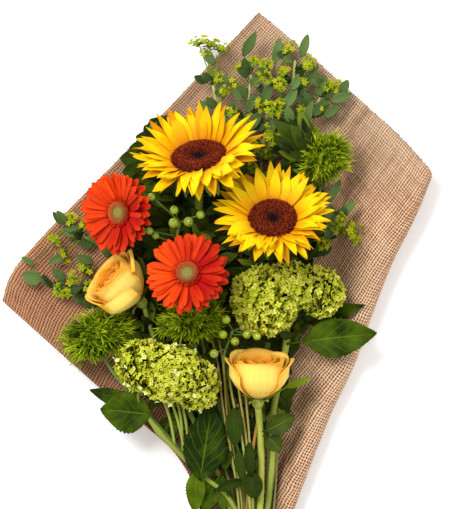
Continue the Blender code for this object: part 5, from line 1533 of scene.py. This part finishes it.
def build_spray(name):
    """One spray: its stem, its larger leaves, then small leaves and umbels up both sides."""
    route, leaves, umbels, lowest, seed = SPRAYS[name]
    rng = random.Random(seed)
    path = stem_path(route[0], (0, -1, 0), SPRAY_LEVEL, name, way=route[1:], lead=0)
    tops, leafage, stems = Heap(), Heap(), Heap()
    stalk = rod_stamp(4, 5)
    stamps, umbel_stamps = (leaf_stamp(6, 10), stalk), (stalk, bud_stamp(1), leaf_stamp(2, 4))
    fine = add_stem(stems, path, 1.3, 0.6)
    for x, y, z, tip_x, tip_y, width in leaves:
        base = np.array([x, y, z])
        joint = nearest(fine, base - (0, 5, 2))
        tip = np.array([tip_x, tip_y, z + rng.uniform(1, 5)])
        add_leaf(leafage, stamps, joint, base, tip, width * 1.05, rng.uniform(0.25, 0.8), 0.7, wave=0.02,
                 outline=OVAL_OUTLINE)
    upright = [p for p in curve_through(path, 90) if p[1] > lowest]
    for k, joint in enumerate(upright[::2]):
        side = 1 if k % 2 else -1
        for lift in (0.1, 0.55):
            way = unit((side * rng.uniform(0.4, 1.0), rng.uniform(0.1, 1.1), lift + rng.uniform(0.0, 0.4)))
            base = joint + way * rng.uniform(2, 9)
            face = tilted(rng)
            add_leaf(leafage, stamps, joint, base, base + way * rng.uniform(11, 20), rng.uniform(7.0, 12.0),
                     rng.uniform(0.0, 0.8), 0.5, wave=0.03, outline=OVAL_OUTLINE, up=face)
        if k % 2 == 1:
            spot = joint + np.array([side * rng.uniform(5, 15), rng.uniform(4, 16), rng.uniform(9, 18)])
            add_umbel(tops, umbel_stamps, joint, spot, rng.uniform(6, 9.5), rng)
    for x, y, z, size in umbels:
        joint = nearest(fine, np.array([x, y - 16, z - 6]))
        add_umbel(tops, umbel_stamps, joint, (x, y, z), size * 1.2, rng)
    tops.piece(name + "_umbels", umbel_finish(), "spray_green")
    finish = leafy_finish("spray_leaf", (28, 52, 20), (112, 138, 72), 0.6, vein=0.3, side_veins=5, mottle=0.5)
    leafage.piece(name + "_leaves", finish, "spray_green", (name,), thickness=0.3)
    stems.piece(name + "_stem", stem_finish("spray_stem", (120, 134, 56), (208, 210, 128)), "spray_green")


# Leafy stems: route, level, points of the path, radius, leaves (base, tip, width) and how wavy they are.

LEAFY_STEMS = {
    "upper_leaves": (((-62, 164, 13), (-50, 130, 14), (-50, 60, 24), (-36, -25, 24), (-17, -90, 24)),
                     MIDDLE_LEVEL, 10, 1.7,
                     (((-56, 160, 14), (-75, 181, 17), 26), ((-58, 138, 15), (-105, 142, 18), 28),
                      ((-54, 150, 13), (-89, 164, 14), 26), ((-56, 156, 16), (-81, 174, 19), 26),
                      ((-60, 130, 18), (-103, 128, 22), 26), ((-56, 146, 19), (-96, 152, 22), 26),
                      ((-50, 162, 12), (-63, 184, 14), 26), ((-56, 124, 24), (-96, 118, 26), 24),
                      ((-52, 154, 22), (-80, 167, 24), 26), ((-58, 140, 22), (-90, 146, 26), 26)), 0.06),
    "leafy_stem": (((12, -104, 36), (20, -140, 34)), HIGH_LEVEL, 8, 1.5,
                   (((8, -108, 47), (10, -146, 49), 17), ((24, -142, 46), (25, -176, 47), 11),
                    ((24, -172, 44), (31, -198, 45), 21), ((17, -180, 42), (-9, -190, 43), 11),
                    ((3, -140, 40), (0, -170, 41), 12), ((13, -150, 44), (17, -180, 45), 10)), 0.05),
}


def build_leafy_stems():
    """The dark leaves at the upper left edge and those among the stems in front."""
    stamps = leaf_stamp(12, 18), rod_stamp(6, 8)
    rng = random.Random(17)
    for name, (route, level, count, radius, leaves, wave) in LEAFY_STEMS.items():
        path = stem_path(route[0], (0, -1, 0), level, name, way=route[1:], lead=0, count=count)
        stems, leafage = Heap(), Heap()
        fine = add_stem(stems, path, radius, 0.35)
        for base, tip, width in leaves:
            add_leaf(leafage, stamps, nearest(fine, base), base, tip, width, rng.uniform(0.1, 0.5), 1.1, wave=wave,
                     waves=3.5, outline=OVAL_OUTLINE, quilt=0.03 * width)
        leafage.piece(name + "_blades", leafy_finish("dark_leaf", (14, 26, 2), (66, 88, 14), 0.6, gloss=0.06),
                      "dark_leaf", (name,), thickness=0.45)
        stems.piece(name + "_stalk", stem_finish("leafy_stalk", (92, 62, 34), (150, 128, 72)), "stem_green")


# Foliage low between the blooms, and loose thin stems.


def stem_paths():
    """Points along every thicker stem under the blooms."""
    stems = [head_stem(name, flower[0], SUN_DROP, LOW_LEVEL) for name, flower in SUNFLOWERS.items()]
    stems += [head_stem(name, flower[0], GERBERA_DROP, flower[2]) for name, flower in GERBERAS.items()]
    stems += [head_stem(name, flower[0], ROSE_DROP, flower[5]) for name, flower in ROSES.items()]
    stems += [fuzzy_head_stem(name) for name in FUZZY_HEADS]
    start, *way = LEAFY_STEMS["upper_leaves"][0]
    stems.append(stem_path(start, (0, -1, 0), MIDDLE_LEVEL, "upper_leaves", way=way, lead=0))
    return np.concatenate([curve_through(path, 120) for path in stems])


# Each loose stem: its route, radius and tone.
LOOSE_STEMS = (
    (((2, -66, 20), (8, -100, 38), (17, -140, 44), (25, -209, 40)), 1.3, 0.75),
    (((10, -62, 20), (15, -98, 38), (21, -138, 43), (27, -209, 38)), 1.2, 0.6),
    (((18, -62, 20), (21, -98, 38), (24, -135, 42), (28, -209, 39)), 1.2, 0.5),
    (((40, -66, 18), (36, -104, 36), (28, -147, 40), (22, -209, 36)), 1.7, 0.05),
    (((-16, -30, 26), (-8, -60, 36), (-3, -100, 40), (14, -209, 38)), 1.2, 0.6),
    (((-8, -32, 26), (-2, -62, 36), (1, -104, 39), (17, -209, 36)), 1.1, 0.45),
)
# The middle of the bouquet seen from above, which holds the filler leaves, and the clearings (centre, radius) where
# they stay low.
FILLER_ROOM = ((-70, 180), (-40, 172), (0, 180), (40, 200), (76, 192), (98, 160), (98, 60), (90, -10), (70, -60),
               (60, -105), (42, -140), (10, -165), (-24, -160), (-58, -120), (-95, -60), (-120, -20), (-118, 30),
               (-110, 80), (-95, 130))
CLEARINGS = (((33, -70), 44), ((-106, 13), 38))
LONGEST_STALK = 48


def inside_filler_room(place):
    """Whether a place lies over the middle of the bouquet, seen from above."""
    inside = False
    x, y = place[0], place[1]
    for (ax, ay), (bx, by) in zip(FILLER_ROOM, FILLER_ROOM[1:] + FILLER_ROOM[:1]):
        if (ay > y) != (by > y) and x < (bx - ax) * (y - ay) / (by - ay) + ax:
            inside = not inside
    return inside


def build_fillers(settings):
    """Loose thin stems, and leaves low between the blooms, each on a stalk from the nearest stem; the dark leaves are
    also painted shade.
    """
    heap = Heap()
    for route, radius, tone in LOOSE_STEMS:
        x, _, z = route[-1]
        add_stem(heap, [*route, (x, TIE_Y, 0.7 * z), (x, STEM_END_Y + 8, 0.7 * z)], radius, tone)
    heap.piece("loose_stems", stem_finish("loose_stem", (150, 92, 36), (160, 170, 84)), "stem_green")
    rng = random.Random(29)
    stamps = leaf_stamp(4, 8), rod_stamp(4, 4)
    stems = stem_paths()
    dark, pale = Heap(), Heap()
    for number in range(settings.fillers):
        spot = np.array([rng.uniform(-120, 100), rng.uniform(-190, 180), 0.0])
        if not inside_filler_room(spot):
            continue
        spot[2] = rng.uniform(10, 48 if spot[1] > -95 else 20)
        if any(np.linalg.norm(spot[:2] - middle) < room for middle, room in CLEARINGS):
            spot[2] = min(spot[2], 14)
        joint = stems[np.argmin(np.linalg.norm(stems[:, :2] - spot[:2], axis=1))]
        away = spot - joint
        if np.linalg.norm(away[:2]) > LONGEST_STALK:
            continue
        way = unit(away * (1, 1, 0.5) + np.array([rng.uniform(-9, 9), rng.uniform(-3, 14), rng.uniform(-1, 5)]))
        heap, room = (pale, 0.8) if number % 4 == 0 else (dark, 1.0)
        length = rng.uniform(20, 38) * room
        base = spot - way * length * 0.5
        tip = spot + way * length * 0.5
        if not inside_filler_room(tip):
            continue
        face = tilted(rng)
        add_leaf(heap, stamps, joint, base, tip, length * rng.uniform(0.34, 0.5), rng.uniform(0.0, 0.6), 0.6, arch=0.2,
                 wave=0.03, up=face)
    # The dark filler leaves are leaves, and their near-black green is also painted shade deep between the blooms.
    dark.piece("filler_leaves", leafy_finish("filler_leaf", (12, 24, 0), (84, 104, 14), 0.6), "dark_leaf",
               thickness=0.3)
    pale.piece("filler_sprigs", leafy_finish("sprig_leaf", (44, 66, 8), (138, 158, 36), 0.6), "spray_green",
               thickness=0.3)


# The floor, the light and the camera, which sees 450 millimetres across at the blooms' height.

PICTURE_WIDTH = 450.0
VIEW_CENTRE = (0.0, 45.5)
BLOOM_HEIGHT = 30.0
CAMERA_RISE = 8000.0
SENSOR = 36.0
# The floor and the lights are in metres. The floor lies just below the part, and the lights aim at one place.
FLOOR_SIZE = 6.0
FLOOR_DROP = 0.0006
LIGHT_AIM = (0.0, 0.03, 0.04)
RIM_SHARE = 0.12
WHITE = (1.0, 1.0, 1.0, 1.0)


def build_stage(settings):
    """A pale floor, soft light from all round, a key light, a weak light from the right and the camera."""
    link = bpy.context.scene.collection.objects.link
    work = bmesh.new()
    bmesh.ops.create_grid(work, x_segments=1, y_segments=1, size=FLOOR_SIZE)
    for vert in work.verts:
        vert.co.z = -FLOOR_DROP
    mesh = bpy.data.meshes.new("floor")
    work.to_mesh(mesh)
    work.free()
    floor = bpy.data.objects.new("floor", mesh)
    link(floor)
    made = Finish("floor", Roughness=0.9, Emission_Color=WHITE, Emission_Strength=0.12)
    colour = made.mix(made.noise(6.0, 2.0) * 0.1, list(settings.floor), [0.96, 0.96, 0.96])
    made.tree.links.new(colour, made.shader.inputs["Base Color"])
    mesh.materials.append(made.material)

    world = bpy.data.worlds.new("studio")
    world.use_nodes = True
    colour, strength = world.node_tree.nodes["Background"].inputs[:2]
    colour.default_value = WHITE
    strength.default_value = settings.fill
    bpy.context.scene.world = world
    for name, spot, size, energy in (
        ("key", (-1.2, 1.25, 2.6), 1.3, settings.key), ("rim", (1.8, 0.4, 1.6), 1.6, settings.key * RIM_SHARE),
    ):
        lamp = bpy.data.lights.new(name, "AREA")
        lamp.energy = energy
        lamp.size = size
        thing = bpy.data.objects.new(name, lamp)
        thing.location = spot
        thing.rotation_euler = (Vector(LIGHT_AIM) - Vector(spot)).to_track_quat("-Z", "Y").to_euler()
        link(thing)

    lens = bpy.data.cameras.new("camera")
    lens.sensor_fit = "HORIZONTAL"
    lens.sensor_width = SENSOR
    lens.lens = SENSOR * (CAMERA_RISE - BLOOM_HEIGHT) / PICTURE_WIDTH
    lens.clip_end = 50.0
    camera = bpy.data.objects.new("camera", lens)
    camera.location = (VIEW_CENTRE[0] * MM, VIEW_CENTRE[1] * MM, CAMERA_RISE * MM)
    link(camera)
    bpy.context.scene.camera = camera
    bpy.context.scene.view_settings.view_transform = "Standard"


# What a user would change.


def colour_property(name, description, default):
    return FloatVectorProperty(name=name, description=description, default=default, size=3, min=0, max=255)


class WrapSettings(bpy.types.PropertyGroup):
    """The jute cloth and its twine."""

    pitch: FloatProperty(name="Thread pitch", description="Threads of the weave lie this far apart, in mm",
                         default=2.75, min=0.5, max=10)
    folds: FloatProperty(name="Folds", description="How deep the soft folds are", default=1.0, min=0, max=3)
    thread_light: colour_property("Light thread", "The paler jute threads", (234, 190, 150))
    thread_dark: colour_property("Dark thread", "The browner jute threads", (220, 168, 126))
    # The colour of the painted shade toward the left of the cloth.
    thread_left_shade: colour_property("Left shade thread", "The browner threads on the left of the cloth", (176, 122, 86))
    gap: colour_property("Gaps", "The shade between the threads", (92, 44, 26))


class SunflowerSettings(bpy.types.PropertyGroup):
    """The sunflowers."""

    petals: IntProperty(name="Petals", description="Petals in each ring", default=27, min=8, max=30)
    tip: colour_property("Petal", "The bright outer part of a petal", (250, 216, 0))
    middle: colour_property("Petal middle", "The warmer middle of a petal", (238, 172, 0))
    root: colour_property("Petal root", "The deep gold at the root", (206, 112, 0))


class GerberaSettings(bpy.types.PropertyGroup):
    """The gerberas."""

    rays: IntProperty(name="Rays", description="Petals in the outer ring", default=26, min=10, max=40)
    lit: colour_property("Lit orange", "Petals that face the light", (250, 80, 8))
    shade: colour_property("Shaded red", "Petals and roots that face away", (168, 6, 2))


class RoseSettings(bpy.types.PropertyGroup):
    """The roses."""

    outer: colour_property("Outer petals", "The cream of the outer petals", (252, 221, 106))
    inner: colour_property("Inner petals", "The gold of the inner petals", (246, 172, 22))


class GreenSettings(bpy.types.PropertyGroup):
    """Hydrangeas, needles, berries, sprays and leaves."""

    needles: IntProperty(name="Needles", description="Needles in each tuft", default=14, min=4, max=40)
    fillers: IntProperty(name="Filler leaves", description="Leaves tried between the blooms", default=1500, min=0,
                         max=3000)
    berry: colour_property("Berry", "The green of the berries", (154, 178, 22))


class StageSettings(bpy.types.PropertyGroup):
    """Floor and light."""

    floor: FloatVectorProperty(name="Floor", description="Colour of the floor", default=(1.0, 1.0, 1.0), size=3,
                               subtype="COLOR", min=0, max=1)
    key: FloatProperty(name="Key light", description="Strength of the light from the upper left, in watts",
                       default=80.0, min=0, max=1000)
    fill: FloatProperty(name="Fill light", description="Strength of the light from all round", default=0.74, min=0,
                        max=5)


class BOUQUET_OT_wrap(bpy.types.Operator):
    """Lay the jute cloth under the flowers, with its frayed edges."""

    bl_idname = "bouquet.wrap"
    bl_label = "Burlap wrap"

    def execute(self, context):
        build_wrap(context.scene.bouquet_wrap)
        build_frayed_edge(context.scene.bouquet_wrap)
        return {"FINISHED"}


class BOUQUET_OT_tie(bpy.types.Operator):
    """Wind the twine round the gathered wrap and stems."""

    bl_idname = "bouquet.tie"
    bl_label = "Twine tie"

    def execute(self, context):
        build_tie(context.scene.bouquet_wrap)
        return {"FINISHED"}


class BOUQUET_OT_sunflowers(bpy.types.Operator):
    """Build both sunflowers: rays, seed discs, bracts and stems."""

    bl_idname = "bouquet.sunflowers"
    bl_label = "Sunflowers"

    def execute(self, context):
        for name in SUNFLOWERS:
            build_sun_petals(name, context.scene.bouquet_sunflowers)
            build_seed_disc(name)
            build_sun_stem(name)
        return {"FINISHED"}


class BOUQUET_OT_gerberas(bpy.types.Operator):
    """Build both gerberas."""

    bl_idname = "bouquet.gerberas"
    bl_label = "Gerberas"

    def execute(self, context):
        for name in GERBERAS:
            build_gerbera(name, context.scene.bouquet_gerberas)
        return {"FINISHED"}


class BOUQUET_OT_roses(bpy.types.Operator):
    """Build both roses with sepals, stems and leaflets."""

    bl_idname = "bouquet.roses"
    bl_label = "Roses"

    def execute(self, context):
        for name in ROSES:
            build_rose(name, context.scene.bouquet_roses)
        return {"FINISHED"}


class BOUQUET_OT_hydrangeas(bpy.types.Operator):
    """Build both hydrangea heads, their stalks and broad leaves."""

    bl_idname = "bouquet.hydrangeas"
    bl_label = "Hydrangeas"

    def execute(self, context):
        for name in HYDRANGEAS:
            build_hydrangea_head(name)
            build_hydrangea_green(name)
        return {"FINISHED"}


class BOUQUET_OT_fuzzy_heads(bpy.types.Operator):
    """Build the three fuzzy green heads."""

    bl_idname = "bouquet.fuzzy_heads"
    bl_label = "Fuzzy green heads"

    def execute(self, context):
        for name in FUZZY_HEADS:
            build_fuzzy_head(name, context.scene.bouquet_greens)
        return {"FINISHED"}


class BOUQUET_OT_berries(bpy.types.Operator):
    """Build the two sprays of green berries."""

    bl_idname = "bouquet.berries"
    bl_label = "Berries"

    def execute(self, context):
        for name in BERRIES:
            build_hypericum(name, context.scene.bouquet_greens)
        return {"FINISHED"}


class BOUQUET_OT_sprays(bpy.types.Operator):
    """Build the leafy sprays with small umbels."""

    bl_idname = "bouquet.sprays"
    bl_label = "Leafy sprays"

    def execute(self, context):
        for name in SPRAYS:
            build_spray(name)
        return {"FINISHED"}


class BOUQUET_OT_leaves(bpy.types.Operator):
    """Build the leafy stems and the dark foliage between the blooms."""

    bl_idname = "bouquet.leaves"
    bl_label = "Leaves"

    def execute(self, context):
        build_leafy_stems()
        build_fillers(context.scene.bouquet_greens)
        return {"FINISHED"}


class BOUQUET_OT_stage(bpy.types.Operator):
    """Set up the pale floor, the soft light and the camera."""

    bl_idname = "bouquet.stage"
    bl_label = "Stage"

    def execute(self, context):
        build_stage(context.scene.bouquet_stage)
        return {"FINISHED"}


OPERATORS = (
    BOUQUET_OT_wrap, BOUQUET_OT_tie, BOUQUET_OT_sunflowers, BOUQUET_OT_gerberas, BOUQUET_OT_roses,
    BOUQUET_OT_hydrangeas, BOUQUET_OT_fuzzy_heads, BOUQUET_OT_berries, BOUQUET_OT_sprays, BOUQUET_OT_leaves,
    BOUQUET_OT_stage,
)
SETTINGS = (
    ("bouquet_wrap", WrapSettings), ("bouquet_sunflowers", SunflowerSettings), ("bouquet_gerberas", GerberaSettings),
    ("bouquet_roses", RoseSettings), ("bouquet_greens", GreenSettings), ("bouquet_stage", StageSettings),
)


class BOUQUET_PT_panel(bpy.types.Panel):
    """The bouquet's pieces and their settings."""

    bl_idname = "BOUQUET_PT_panel"
    bl_label = "Bouquet"
    bl_space_type = "VIEW_3D"
    bl_region_type = "UI"
    bl_category = "Bouquet"

    def draw(self, context):
        for operator in OPERATORS:
            self.layout.operator(operator.bl_idname)
        for name, group in SETTINGS:
            box = self.layout.box()
            for key in group.__annotations__:
                box.prop(getattr(context.scene, name), key)


def register():
    for name, group in SETTINGS:
        bpy.utils.register_class(group)
        setattr(bpy.types.Scene, name, PointerProperty(type=group))
    for kind in (*OPERATORS, BOUQUET_PT_panel):
        bpy.utils.register_class(kind)


def unregister():
    for kind in (BOUQUET_PT_panel, *reversed(OPERATORS)):
        bpy.utils.unregister_class(kind)
    for name, group in reversed(SETTINGS):
        delattr(bpy.types.Scene, name)
        bpy.utils.unregister_class(group)


def main():
    register()
    for operator in OPERATORS:
        group, name = operator.bl_idname.split(".")
        getattr(getattr(bpy.ops, group), name)()


if __name__ == "__main__":
    main()
